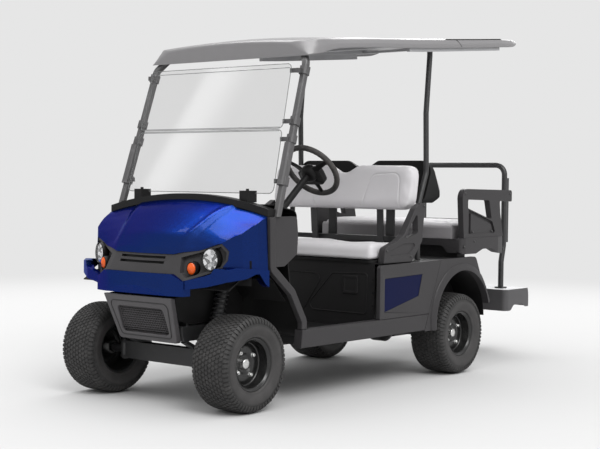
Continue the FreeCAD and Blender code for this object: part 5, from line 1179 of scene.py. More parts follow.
    def lugs(self) -> bpy.types.Object:
        """Skewed six-sided blocks in staggered rows; each stands on the carcass and tapers to its top."""
        plan = np.array(self.plan)
        across, along = self.half
        row, turn = np.meshgrid(np.arange(len(self.rows)), np.arange(self.pitches), indexing="ij")
        flip = np.where(row % 2, -1.0, 1.0)[..., None]
        x0 = np.array(self.rows)[row][..., None]
        angle = (turn + 0.5 * (row % 2))[..., None] * FULL_TURN / self.pitches
        rings = []
        for level, scale in ((-0.002, 1.06), (self.lug * 0.72, 0.92), (self.lug, 0.78)):
            x = x0 + plan[:, 0] * across * scale
            around = angle + flip * plan[:, 1] * along * scale / self.radius
            reach = np.minimum(pchip(self.tread, x.ravel()).reshape(x.shape) + level, self.radius - 0.0002)
            rings.append(polar(self.centre, self.side.value, x, reach, around))
        sides = len(plan)
        points = np.stack(rings, 2).reshape(-1, 3 * sides, 3)
        first = np.arange(len(points))[:, None, None] * 3 * sides
        quads = (first + grid_faces(3, sides, False, True)[None]).reshape(-1, 4).tolist()
        tops = (first[:, :, 0] + np.arange(2 * sides, 3 * sides)[None]).tolist()
        return outward(add_mesh("lugs", points, quads + tops, TREAD, False))

    def shoulder(self) -> bpy.types.Object:
        """Bars that run over each shoulder; each is a tapered strip of the section raised off the carcass."""
        x, rise, half = np.array(self.bars).T
        low = pchip(self.tread, x)[:, 0]
        slope = np.gradient(low, x)
        out = np.stack([-slope, np.ones_like(x)], -1) / np.hypot(slope, 1)[:, None]
        angle = (np.arange(self.pitches) + 0.25) * FULL_TURN / self.pitches
        profile = ((-1.0, 0.0), (-0.82, 1.0), (0.82, 1.0), (1.0, 0.0))
        size = len(x) * len(profile)
        first = np.arange(self.pitches)[:, None, None] * size
        faces = (first + grid_faces(len(x), len(profile))[None]).reshape(-1, 4).tolist()
        for end in (np.arange(4), np.arange(size - 1, size - 5, -1)):
            faces += (first[:, :, 0] + end[None]).tolist()
        parts = []
        for sign in (1, -1):
            grids = []
            for edge, lift in profile:
                place = np.stack([x, low], -1) + out * (rise * lift - 0.001 * (1 - lift))[:, None]
                along, reach = np.minimum(place[:, 0], 0.1198), place[:, 1]
                around = angle[:, None] + edge * half[None] / reach
                grids.append(polar(self.centre, self.side.value * sign, along, reach, around))
            parts.append(outward(add_mesh("bars", np.stack(grids, 2), faces, TREAD, False)))
        return merge("bars", parts)

    def rim(self) -> None:
        """Rolled rim with a dished disc, nuts on studs and a bright hub cap."""
        side, steps = self.side.value, 112
        section = self.outer + self.inner
        turned = lathe(section, self.centre, side, steps)
        parts = [outward(add_mesh("disc", turned, grid_faces(steps, len(section), True, True), RIM_GLOSS))]
        count, depth, circle, first = self.bolts
        for turn in first + np.arange(count) * FULL_TURN / count:
            seat = polar(self.centre, side, depth, circle, turn)
            length = len(self.nut)
            faces = grid_faces(6, length, True).tolist()
            faces += [list(range(length - 1, 6 * length, length)), list(range(0, 6 * length, length))[::-1]]
            parts.append(outward(add_mesh("nut", lathe(self.nut, seat, side, 6), faces, ZINC, False)))
        parts.append(outward(add_mesh("cap", lathe(self.cap, self.centre, side, 48),
                                      grid_faces(48, len(self.cap), True), ZINC)))
        merge("rim_skin_" + self.corner, parts)


# Cushions

@dataclass
class Pad:
    """Foam pad in vinyl: a smaller, rounded copy of its solid that is blown up as cloth.

    Args:
        node: The CAD node that it stands for.
        name: The piece's name.
        body: The body that it rides on.
        base: Unit vector from the face that is held to the face that swells.
        grip: How deep the held part reaches from the base, in metres.
        shrink: How far the copy is moved inwards before it swells.
        rounds: Smoothing passes that round its edges.
        calm: Smoothing passes after the cloth, as foam under vinyl keeps no small wrinkles.
        cap: How far a point may move.
        pressure: The cloth's pressure.
        voxel: Size of the net's cells, in metres.
    """

    node: str
    name: str
    body: str
    base: tuple[float, float, float]
    grip: float = 0.012
    shrink: float = 0.004
    rounds: int = 26
    calm: int = 14
    cap: float = 0.009
    pressure: float = 4.0
    voxel: float = 0.0068
    fill: float = 0.7

    def build(self) -> bpy.types.Object:
        """Returns the swollen pad, not yet declared."""
        made = welded(self.node, self.name, VINYL)
        modifier(made, "REMESH", mode="VOXEL", voxel_size=self.voxel)
        apply_modifiers(made)
        self.ease(made, self.shrink, self.rounds)
        self.blow(made)
        self.ease(made, 0.0, self.calm)
        smooth_all(made)
        return made

    def ease(self, made: bpy.types.Object, shrink: float, rounds: int) -> None:
        """Moves the skin inwards and rounds its edges: each pass moves a point halfway to its neighbours' mean.

        Args:
            made: The pad.
            shrink: How far the skin goes inwards along its normals.
            rounds: The number of passes.
        """
        points = coordinates(made)
        normals = np.empty(len(points) * 3, np.float32)
        made.data.vertices.foreach_get("normal", normals)
        edges = np.empty(len(made.data.edges) * 2, np.int32)
        made.data.edges.foreach_get("vertices", edges)
        first, last = edges.reshape(-1, 2).T
        both = np.concatenate([first, last])
        other = np.concatenate([last, first])
        degree = np.maximum(np.bincount(both, minlength=len(points)), 1)
        points = points - normals.reshape(-1, 3) * shrink
        for _ in range(rounds):
            mean = np.stack([np.bincount(both, points[other, axis], len(points)) for axis in range(3)], -1)
            points = (points + mean / degree[:, None]) / 2
        move_to(made, points)

    def blow(self, made: bpy.types.Object) -> None:
        """Runs the cloth, caps each point's move and keeps the result.

        The held weight is 1 up to the grip above the base's lowest point and fades to 0 over HOLD_FADE.

        Args:
            made: The pad, which has no modifiers.
        """
        rest = coordinates(made)
        out = rest @ np.array(self.base)
        rounded = np.round(unit(1.0 - (out - out.min() - self.grip) / HOLD_FADE), 1)
        group = made.vertex_groups.new(name=CLOTH["vertex_group_mass"])
        for weight in np.unique(rounded):
            group.add(np.nonzero(rounded == weight)[0].tolist(), float(weight), "REPLACE")
        settings = modifier(made, "CLOTH").settings
        for key, value in CLOTH.items():
            setattr(settings, key, value)
        settings.uniform_pressure_force = self.pressure
        settings.effector_weights.gravity = 0.0
        scene = bpy.context.scene
        for step in range(CLOTH_FRAMES):
            scene.frame_set(step + 1)
        shaped = made.evaluated_get(bpy.context.evaluated_depsgraph_get())
        moved = np.empty(len(rest) * 3, np.float32)
        shaped.data.vertices.foreach_get("co", moved)
        made.modifiers.clear()
        made.vertex_groups.clear()
        scene.frame_set(1)
        shift = moved.reshape(-1, 3) - rest
        length = np.linalg.norm(shift, axis=1, keepdims=True)
        move_to(made, rest + shift * np.minimum(1.0, self.cap / np.maximum(length, 1e-9)))
        LOG.info("%s swelled by up to %.1f mm", self.name, 1000 * min(self.cap, float(length.max())))

    def finish(self, made: bpy.types.Object) -> None:
        modifier(made, "SUBSURF", levels=1, render_levels=1)
        fitted(self.name, self.body, "grey_vinyl", self.node)


# Seats

@dataclass
class Seats:
    """Front bench and back, rear bench and back, in light vinyl with an embossed line on the front back.

    Lengths along the cart count from the front axle.

    Args:
        front_start: The front cushion's front edge, along the cart.
        front_low: Height of its underside.
        rider: How far out the middle of a rider's place is, and its middle and half length behind the edge.
        back_run: How far the front back leans and rises.
        back_dish: Distance out, height, half width and half height of the dish in the back.
        arch: The embossed line in front of each rider, as marks (distance out, height, bend).
        press: Depth and half width of the embossed line.
        rear_place: The rear cushion's two ends, along the cart.
        rear_brim: Height of its pan's brim.
    """

    front_start: float = 1.079
    front_low: float = 0.746
    rider: tuple[float, float, float] = (0.27, 0.24, 0.21)
    back_run: tuple[float, float] = (0.045, 0.291)
    back_dish: tuple[float, float, float, float] = (0.3, 1.165, 0.17, 0.11)
    arch: Marks = (
        (0.186, 1.04, 0.0), (0.193, 1.072, 0.05), (0.238, 1.252, 0.055), (0.455, 1.262, 0.055), (0.466, 1.077, 0.05),
        (0.467, 1.055, 0.0))
    press: tuple[float, float] = (0.0042, 0.004)
    rear_place: tuple[float, float] = (1.997, 2.408)
    rear_brim: float = 0.93

    def build(self) -> None:
        """Makes the four pads."""
        self.front_cushion()
        self.front_back()
        self.rear_cushion()
        self.rear_back()

    def front_cushion(self) -> None:
        """Bench cushion with a dish for each rider and a rolled front edge.

        The fall is a product of cosines over each half bench, only above the cushion's middle height.
        """
        pad = Pad("front_seat_cushion", "front_cushion", "front_seat", (0.0, 0.0, 1.0), 0.01, 0.003, 24, 12,
                  voxel=0.0085)
        made = pad.build()
        x, y, z = coordinates(made).T
        middle, behind, reach = self.rider
        place = y - FRONT_Y - self.front_start
        share = unit((z - self.front_low - 0.035) / 0.05)
        across = unit(np.abs(np.abs(x) - middle) / 0.26)
        along = unit(np.abs(place - behind) / reach)
        dish = (np.cos(across * math.pi / 2) * np.cos(along * math.pi / 2)) ** 0.8
        roll = unit(1.0 - place / 0.13) ** 2
        raise_by(made, -share * (0.02 * dish + 0.014 * roll))
        pad.finish(made)

    def front_back(self) -> None:
        """Leaning back with a shallow dish for each rider and an arched line pressed in front of each.

        The dish and the line are bell curves, of the distance from the dish's middle and from the line.
        """
        way = np.array([0.0, -self.back_run[1], self.back_run[0]])
        way /= np.linalg.norm(way)
        pad = Pad("front_seat_back", "front_back", "chassis", tuple(way), 0.014, 0.004, 26, 16, 0.008)
        made = pad.build()
        modifier(made, "SUBSURF", levels=1, render_levels=1)
        smooth_all(apply_modifiers(made))
        points = coordinates(made)
        out = points @ way
        flat = np.stack([np.abs(points[:, 0]), points[:, 2]], -1)
        front = unit((out - out.max() + 0.05) / 0.02)
        dish = np.exp(-(((flat - self.back_dish[:2]) / self.back_dish[2:]) ** 2).sum(1))
        line = resample(polyline(self.arch), 220)
        seen = np.nonzero((front > 0) & (flat[:, 0] > 0.16) & (flat[:, 0] < 0.5))[0]
        gap = np.full(len(points), 1.0)
        gap[seen] = np.linalg.norm(flat[seen][:, None] - line[None], axis=2).min(1)
        depth, width = self.press
        sink = front * (0.009 * dish + depth * np.exp(-(gap / width) ** 2))
        move_to(made, points - sink[:, None] * way)
        fitted("front_back", "chassis", "grey_vinyl", "front_seat_back")

    def rear_back(self) -> None:
        """Rear-facing bolster against its moulded shell."""
        pad = Pad("rear_back_cushion", "rear_back", "chassis", (0.0, 0.902, 0.432), 0.016, 0.004, 24, 14, 0.008)
        pad.finish(pad.build())

    def rear_cushion(self) -> None:
        """Rear cushion: only the crown above its pan's brim swells, by roots of cosines across and along."""
        pad = Pad("rear_seat_cushion", "rear_cushion", "rear_seat", (0.0, 0.0, 1.0), 0.046, 0.002, 12, 8, 0.006)
        made = pad.build()
        x, y, z = coordinates(made).T
        low, high = self.rear_place
        across = unit(np.abs(x) / 0.5)
        along = unit(np.abs(y - FRONT_Y - (low + high) / 2) / ((high - low) / 2))
        crown = np.cos(across * math.pi / 2) ** 0.4 * np.cos(along * math.pi / 2) ** 0.5
        raise_by(made, unit((z - self.rear_brim) / 0.02) * (0.006 * crown - 0.003))
        pad.finish(made)


# Nose

@dataclass
class Nose:
    """Hood with its two ridges, lamps in their pods, grille mesh and the slotted strip.

    Lengths along the cart count from the front axle.

    Args:
        crown: Marks (place along the cart, height at the middle, drop at the reach) of the hood's curve.
        plan: Marks (place, distance out) of the hood's shoulder.
        ridge: Front and rear end (place, distance out) of the ridge line.
        ridge_height: Step from the raised middle down to the outer field.
        band_depth: Depth of the hollow between ridge and shoulder.
        net: Size of the cells that the hood is cut into.
        lamp_way: The way that the lamps look.
        lamp_place: Distance out, place and height of a headlamp.
        signal_place: Distance out, place and height of a signal.
        oval: Width of a lamp as a share of its height.
        reach: Distance out at which the crown's drop is read.
        wing_dip: How far the bumper's wings dip below the pods.
        sheet: Marks in plan (distance out, place, bend) of the sheet behind a pod.
        sheet_high: Height of that sheet's upper edge, and its own height.
        leaning: Place and height of the grille's field at its top and at its foot.
        mesh_field: Height and half width of the mesh at its top and at its foot.
        bead: Half width, height and corner radius of the raised line at its foot and at its top.
    """

    crown: Marks = (
        (-0.3, 0.735, 0.42), (-0.262, 0.778, 0.39), (-0.225, 0.824, 0.306), (-0.19, 0.868, 0.24),
        (-0.15, 0.908, 0.16), (-0.107, 0.942, 0.098), (-0.06, 0.978, 0.076), (0.02, 1.038, 0.072),
        (0.106, 1.086, 0.072), (0.126, 1.094, 0.072))
    plan: Marks = (
        (-0.27, 0.0), (-0.25, 0.24), (-0.226, 0.318), (-0.11, 0.48), (-0.036, 0.56), (0.04, 0.598),
        (0.106, 0.602))
    ridge: Marks = ((-0.21, 0.228), (0.12, 0.347))
    ridge_height: float = 0.011
    band_depth: float = 0.013
    net: float = 0.012
    lamp_way: tuple[float, float] = (0.26, -0.965)
    lamp_place: tuple[float, float, float] = (0.418, -0.14, 0.794)
    signal_place: tuple[float, float, float] = (0.333, -0.19, 0.746)
    oval: float = 0.8
    reach: float = 0.6
    wing_dip: float = 0.02
    sheet: Marks = (
        (0.255, -0.165, 0.0), (0.4, -0.085, 0.06), (0.49, -0.02, 0.04), (0.584, -0.004, 0.0))
    sheet_high: tuple[float, float] = (0.79, 0.13)
    leaning: Marks = ((-0.262, 0.59), (-0.172, 0.344))
    mesh_field: Marks = ((0.524, 0.168), (0.389, 0.173))
    bead: Marks = ((0.188, 0.368, 0.024), (0.219, 0.556, 0.028))

    def build(self) -> None:
        """Makes the hood, the lamps, the grille and what lies behind them."""
        self.hood()
        self.lamps()
        self.mesh()
        self.slot_bars()
        self.inner_sheet()
        self.bumper_skin()

    def bumper_skin(self) -> None:
        """Copy of the bumper whose wings dip below the pods.

        The dip is a product of two smooth steps, out to the side and along the cart, only in the upper third of
        the wing.
        """
        made = eased_copy("front_bumper", Dressing(PAINT, 0.004, 24.0, 3))
        x, y, z = coordinates(made).T
        side = soft_step((np.abs(x) - 0.345) / 0.05)
        along = soft_step((FRONT_Y - 0.105 - y) / 0.045)
        raise_by(made, -self.wing_dip * side * along * unit((z - 0.69) / 0.03))

    def inner_sheet(self) -> None:
        """Dark sheet behind each lamp pod and bumper wing: a path in plan raised between two heights."""
        count = 30
        line = resample(polyline(self.sheet), count)
        top, height = self.sheet_high
        parts = []
        for side in (1, -1):
            skins = []
            for depth in (0.0, 0.003):
                high = np.stack([side * (line[:, 0] - depth), FRONT_Y + line[:, 1] + depth, np.full(count, top)], -1)
                skins.append(np.stack([high - np.array([0.0, 0.0, height]), high], 1))
            block = np.stack([skins[0][:, 0], skins[0][:, 1], skins[1][:, 1], skins[1][:, 0]], 1)
            parts.append(outward(add_mesh("sheet", block, tube_faces(count, 4), BLACK, False)))
        merge("nose_sheets", parts)
        fitted("nose_sheets", "chassis", slot_of("wheel_liners"))

    def hood(self) -> None:
        """Copy of the hood cut into a fine net, then moved onto smooth curves and ridges.

        Height: curved crown less chorded crown, plus a step that falls by the ridge's height outboard of the
        ridge line, less a sine hollow between ridge and shoulder.
        """
        cuts = [((x, 0.0, 0.0), (1.0, 0.0, 0.0)) for x in np.arange(-0.594, 0.6, self.net)]
        cuts += [((0.0, FRONT_Y + y, 0.0), (0.0, 1.0, 0.0)) for y in np.arange(-0.264, 0.106, self.net)]
        made = welded("hood", "hood_skin", PAINT, 0.4, 24.0, cuts)
        x, y, z = coordinates(made).T
        place = y - FRONT_Y
        side = np.abs(x)
        table = np.array(self.crown)
        chord = np.stack([np.interp(place, table[:, 0], table[:, axis]) for axis in (1, 2)], -1)
        bend = pchip(self.crown, place) - chord
        bow = (side / self.reach) ** 2
        smooth = bend[:, 0] - bend[:, 1] * bow
        top = unit((z - chord[:, 0] + chord[:, 1] * bow + 0.03) / 0.02)
        (y0, x0), (y1, x1) = self.ridge
        fold = x0 + (x1 - x0) * (place - y0) / (y1 - y0)
        beyond = side - fold
        border = np.interp(place, *np.array(self.plan).T) - fold
        step = 1.0 - soft_step(beyond / 0.04)
        lip = np.exp(-((beyond + 0.012) / 0.016) ** 2)
        hollow = np.sin(math.pi * unit(beyond / np.maximum(border, 0.05)))
        rear = soft_step((0.112 - place) / 0.09)
        raised = self.ridge_height * step + rear * (0.003 * lip - self.band_depth * hollow)
        raise_by(made, top * (smooth + soft_step((place + 0.205) / 0.07) * raised))
        fitted("hood_skin", "chassis", slot_of("hood"), "hood")

    def lamps(self) -> None:
        """Faceted reflectors behind clear lenses, and ribbed amber signals, each in a dark collar."""
        collar = [(-0.06, 0.06), (0.0, 0.06), (0.005, 0.0585), (0.006, 0.056), (0.001, 0.0545), (-0.058, 0.053)]
        bowl = [(-0.001, 0.0545), (-0.009, 0.049), (-0.01, 0.047), (-0.02, 0.036), (-0.021, 0.034),
                (-0.028, 0.02), (-0.029, 0.013), (-0.014, 0.012), (-0.01, 0.006)]
        cover = [(-0.002, 0.055), (0.004, 0.0535), (0.01, 0.044), (0.013, 0.028), (0.0145, 0.009)]
        ring = [(-0.05, 0.036), (0.0, 0.036), (0.003, 0.034), (0.001, 0.031), (-0.048, 0.03)]
        dome = [(-0.004, 0.0315), (0.001, 0.0305), (0.005, 0.0255), (0.0065, 0.0235), (0.0075, 0.0185),
                (0.0095, 0.0165), (0.01, 0.01), (0.0115, 0.008), (0.012, 0.002)]
        head = ((collar, BLACK, 56, True), (bowl, CHROME, 14, False), (cover, CLEAR, 48, True))
        signal = ((ring, BLACK, 48, True), (dome, AMBER, 48, True))
        for name, node, (out, along, height), pieces in (
                ("headlamp_units", "headlamps", self.lamp_place, head),
                ("signal_units", "turn_signals", self.signal_place, signal)):
            parts = []
            for side in (1, -1):
                way = (side * self.lamp_way[0], self.lamp_way[1], 0.0)
                centre = (side * out, FRONT_Y + along, height)
                parts += [spun_piece(profile, centre, way, finish, steps, self.oval, smooth)
                          for profile, finish, steps, smooth in pieces]
            merge(name, parts)
            fitted(name, "chassis", slot_of(node), node)

    def put(self, x: Array, z: Array, lift: float) -> Array:
        """Point of the grille's leaning face, lifted off it."""
        (top_y, top_z), (low_y, low_z) = self.leaning
        slope = (top_y - low_y) / (top_z - low_z)
        return np.stack([x, FRONT_Y + low_y + slope * (z - low_z) - lift, z], -1)

    def mesh(self) -> None:
        """Square mesh over the grille's field, a dark sheet behind it that is painted shade of the opening, and a
        raised line round it.
        """
        (high, half_high), (low, half_low) = self.mesh_field
        cells, wires, posts, tube = 9, 12, 27, 0.0026
        x, z = np.meshgrid(np.linspace(-1.0, 1.0, cells), np.linspace(low - 0.004, high + 0.004, cells), indexing="ij")
        half = half_low + (half_high - half_low) * (z - low) / (high - low) + 0.004
        # painted shade: a near-black sheet behind the mesh stands in for the shade inside the grille's opening
        behind = np.stack([self.put(x * half, z, -0.0215), self.put(x * half, z, -0.0235)])
        parts = [outward(add_mesh("behind", behind, sheet_faces(cells, cells), PAINTED_SHADE_AND_JOINT, False))]
        for z in np.linspace(low, high, wires):
            half = half_low + (half_high - half_low) * (z - low) / (high - low)
            x = np.linspace(-half, half, 6)
            parts.append(add_tube("wire", self.put(x, np.full(6, z), -0.015), tube, GRILLE_GREY, 4))
        for x in np.linspace(-0.165, 0.165, posts):
            z = np.linspace(low, high, 5)
            parts.append(add_tube("wire", self.put(np.full(5, x), z, -0.014), tube, GRILLE_GREY, 4))
        border = four_sided(*self.bead, 8, 160)
        parts.append(add_tube("bead", self.put(*border.T, 0.0002), 0.003, GRILLE_DARK, 8, True))
        merge("grille_mesh", parts)
        fitted("grille_mesh", "chassis", slot_of("lower_grille"))

    def slot_bars(self) -> None:
        """Dark back behind the two slots of the fascia strip, bowed by the square of x over its half width."""
        half, low, high = 0.175, 0.756, 0.812
        x, z = np.meshgrid(np.linspace(-half, half, 24), np.linspace(low, high, 6), indexing="ij")
        y = FRONT_Y - 0.206 + 0.0225 * (x / half) ** 2 - 0.35 * (high - z)
        front = np.stack([x, y, z], -1)
        both = np.stack([front, front + np.array([0.0, 0.006, 0.0])])
        outward(add_mesh("slot_back", both, sheet_faces(*x.shape), BLACK))
        fitted("slot_back", "chassis", slot_of("fascia"))


# Windscreen, steering wheel and small fittings

@dataclass
class Cockpit:
    """Edges and hinge strip of the windscreen, the steering wheel, coils and fasteners.

    Lengths along the cart count from the front axle.

    Args:
        wheel: Distance out, place along the cart and height of the steering wheel's middle.
        tilt: Its axis along the cart and upwards.
        ring: Radius of its ring.
        grip: Radius of the ring's tube.
        low: Height, place and half width of the windscreen at its foot.
        high: The same at its top.
        fold: Height of the hinge.
        spokes: Angles of the spokes, in degrees.
        spring: Distance out of a front damper, then place and height of its foot and of its head.
        coil: Radius of the coil, radius of its wire and number of turns.
        kick: Place of the kick panel's face.
        ribs: Corners of the outlines raised on it.
        socket: Distance out and height of the blank plate's middle.
        socket_screw: How far its screws are from there, across and upwards.
        screws: Per side plane (distance out) the places and heights of the screws.
    """

    wheel: tuple[float, float, float] = (0.256, 0.89, 1.266)
    tilt: tuple[float, float] = (0.284, 0.233)
    ring: float = 0.168
    grip: float = 0.0165
    low: tuple[float, float, float] = (1.134, 0.192, 0.556)
    high: tuple[float, float, float] = (1.838, 0.369, 0.53)
    fold: float = 1.481
    spokes: tuple[float, ...] = (90.0, 205.0, 335.0)
    spring: tuple[float, float, float, float, float] = (0.285, 0.024, 0.352, 0.106, 0.618)
    coil: tuple[float, float, int] = (0.0335, 0.0052, 11)
    kick: float = 1.108
    ribs: tuple[Marks, ...] = (
        ((0.1, 0.432, 0.02), (0.5, 0.43, 0.02), (0.51, 0.668, 0.02), (0.25, 0.66, 0.03), (0.07, 0.47, 0.03)),
        ((-0.5, 0.43, 0.02), (0.03, 0.43, 0.02), (0.18, 0.65, 0.03), (-0.5, 0.664, 0.02)))
    socket: tuple[float, float] = (0.385, 0.5965)
    socket_screw: tuple[float, float] = (0.047, 0.0465)
    screws: tuple[tuple[float, Marks], ...] = (
        (0.602, ((1.17, 0.8), (1.42, 0.76), (1.5535, 1.06))),
        (0.6155, ((2.0, 1.138), (2.555, 1.135), (2.09, 0.892), (2.325, 0.892))),
        (0.6175, ((1.99, 0.8), (2.11, 0.83), (2.47, 0.77))))

    def build(self) -> None:
        """Makes the fittings."""
        self.screen_edges()
        self.steering()
        self.coils()
        self.kick_panel()
        self.bolts()

    def at(self, x: Array, z: Array, lift: float = 0.0) -> Array:
        """Point on the windscreen's front face, lifted off it."""
        share = (z - self.low[0]) / (self.high[0] - self.low[0])
        return np.stack([x, FRONT_Y + self.low[1] + (self.high[1] - self.low[1]) * share - lift, z], -1)

    def screen_edges(self) -> None:
        """Thin dark edges of both panes and the hinge strip between them."""
        parts = []
        mid_half = self.low[2] + (self.high[2] - self.low[2]) * 0.5
        for z0, z1, half0, half1 in ((self.low[0] + 0.003, self.fold - 0.004, self.low[2], mid_half),
                                     (self.fold + 0.004, self.high[0] - 0.003, mid_half, self.high[2])):
            loop = four_sided((half0 - 0.002, z0, 0.028), (half1 - 0.002, z1, 0.028), 6, 220)
            parts.append(add_tube("edge", self.at(*loop.T, -0.0025), 0.0022, EDGE, 6, True))
        for z in (self.fold - 0.01, self.fold + 0.01, self.high[0] - 0.026):
            x = np.linspace(-mid_half + 0.02, mid_half - 0.02, 40)
            parts.append(add_tube("strip", self.at(x, np.full(40, z), 0.001), 0.0022, EDGE, 6))
        merge("screen_edges", parts)
        fitted("screen_edges", "chassis", slot_of("windshield_lower"))

    def steering(self) -> None:
        """Ring with finger bumps, three flat spokes, a hub and its cover.

        The ring's tube radius is the grip plus a raised cosine of the angle on its inner side.
        """
        way = np.array([0.0, self.tilt[0], self.tilt[1]])
        way /= np.linalg.norm(way)
        centre = np.array([self.wheel[0], FRONT_Y + self.wheel[1], self.wheel[2]])
        across = np.array([1.0, 0.0, 0.0])
        up = np.cross(way, across)
        turn = ring_angles(240)[:, None]
        around = ring_angles(16)[None]
        radius = self.grip + 0.0016 * unit(np.cos(turn * 40)) * unit(-np.cos(around))
        out = across * np.cos(turn)[..., None] + up * np.sin(turn)[..., None]
        points = (centre + out * (self.ring + radius * np.cos(around))[..., None]
                  + way * (radius * np.sin(around))[..., None])
        parts = [outward(add_mesh("ring", points, grid_faces(240, 16, True, True), RUBBER))]
        rows, sides = 14, 12
        share = np.linspace(0.0, 1.0, rows)[:, None]
        wide = 0.024 - 0.01 * np.sin(share * math.pi / 2)
        loop = ring_angles(sides)
        for bearing in np.radians(self.spokes):
            arm = across * math.cos(bearing) + up * math.sin(bearing)
            middle = centre - way * (0.03 * (1 - share) ** 2 + 0.002) + arm * (0.035 + share * (self.ring - 0.042))
            skin = (middle[:, None] + np.cross(way, arm) * (wide * np.cos(loop))[..., None]
                    + way * (0.0065 * np.sin(loop))[None, :, None])
            parts.append(outward(add_mesh("spoke", skin, tube_faces(rows, sides), BLACK)))
        hub = [(-0.06, 0.03), (-0.052, 0.046), (-0.026, 0.054), (-0.012, 0.052), (0.0, 0.046), (0.008, 0.034),
               (0.01, 0.008)]
        parts.append(spun_piece(hub, centre, way, BLACK, 48))
        rows, sides = 10, 40
        share = np.linspace(-1.0, 1.0, rows)[:, None]
        loop = ring_angles(sides)[None]
        box = [np.abs(wave) ** 0.35 * np.sign(wave) for wave in (np.cos(loop), np.sin(loop))]
        size = np.sqrt(unit(1.0 - 0.75 * unit(share) ** 4))
        cover = (centre + up * 0.03 + across * (0.08 * size * box[0])[..., None]
                 + up * (0.05 * size * box[1])[..., None] + way * (0.028 * share - 0.004)[..., None])
        parts.append(outward(add_mesh("cover", cover, tube_faces(rows, sides), BLACK)))
        merge("steering_wheel_skin", parts)
        fitted("steering_wheel_skin", BODY_OF["steering_wheel"], slot_of("steering_wheel"), "steering_wheel")

    def coils(self) -> None:
        """Coil spring round each front damper: a helix about the line from foot to head."""
        out, foot_y, foot_z, head_y, head_z = self.spring
        radius, wire, turns = self.coil
        share = np.linspace(0.0, 1.0, 300)[:, None]
        angle = share * FULL_TURN * turns
        across = np.array([1.0, 0.0, 0.0])
        parts = []
        for side in (1, -1):
            foot = np.array([side * out, FRONT_Y + foot_y, foot_z])
            run = np.array([side * out, FRONT_Y + head_y, head_z]) - foot
            up = np.cross(run / np.linalg.norm(run), across)
            path = foot + run * share + radius * (across * np.cos(angle) + up * np.sin(angle))
            parts.append(add_tube("coil", path, wire, CHASSIS, 8))
        merge("front_coils", parts)
        fitted("front_coils", "chassis", slot_of("front_springs"))

    def kick_panel(self) -> None:
        """Raised outlines on the kick panel, the blank socket plate with its screws and three corner dimples."""
        y = FRONT_Y + self.kick
        front = (0.0, -1.0, 0.0)
        parts = []
        for marks in self.ribs:
            loop = resample(rounded_loop(marks, 6), 160, True)
            path = np.column_stack([loop[:, 0], np.full(160, y), loop[:, 1]])
            parts.append(add_tube("rib", path, 0.0035, KICK, 8, True))
        plate_x, plate_z = self.socket
        count = 48
        rings = []
        for half, lift in ((0.055, -0.001), (0.055, 0.003), (0.052, 0.005), (0.04, 0.005), (0.038, 0.003),
                           (0.012, 0.003)):
            corner = min(0.006, half / 2)
            loop = four_sided((half, -half, corner), (half, half, corner), 5, count)
            rings.append(np.column_stack([plate_x + loop[:, 0], np.full(count, y - lift), plate_z + loop[:, 1]]))
        parts.append(outward(add_mesh("plate", np.concatenate(rings), tube_faces(len(rings), count), KICK, False)))
        screw = [(-0.001, 0.0042), (0.0045, 0.0042), (0.006, 0.0032), (0.0062, 0.0004)]
        for x, z in ((-1, -1), (1, -1), (-1, 1), (1, 1)):
            centre = (plate_x + x * self.socket_screw[0], y - 0.003, plate_z + z * self.socket_screw[1])
            parts.append(spun_piece(screw, centre, front, BLACK, 12))
        dimple = [(-0.001, 0.012), (0.0035, 0.012), (0.0045, 0.0105), (0.0015, 0.009), (0.0005, 0.002)]
        for z in (0.626, 0.55, 0.474):
            parts.append(spun_piece(dimple, (0.5515, y, z), front, BLACK, 24))
        merge("kick_panel_trim", parts)
        fitted("kick_panel_trim", "chassis", slot_of("seat_pod"))

    def bolts(self) -> None:
        """Screw heads on the hip restraints, the rear armrests and their stays."""
        head = [(-0.001, 0.0075), (0.003, 0.0072), (0.0048, 0.005), (0.0052, 0.0005)]
        parts = [spun_piece(head, (side * out, FRONT_Y + y, z), (side, 0.0, 0.0), ZINC_DARK, 16)
                 for side in (1, -1) for out, places in self.screws for y, z in places]
        merge("trim_screws", parts)
        fitted("trim_screws", "chassis", slot_of("hip_restraints"))


# Rigid nodes that keep the shape of their solids

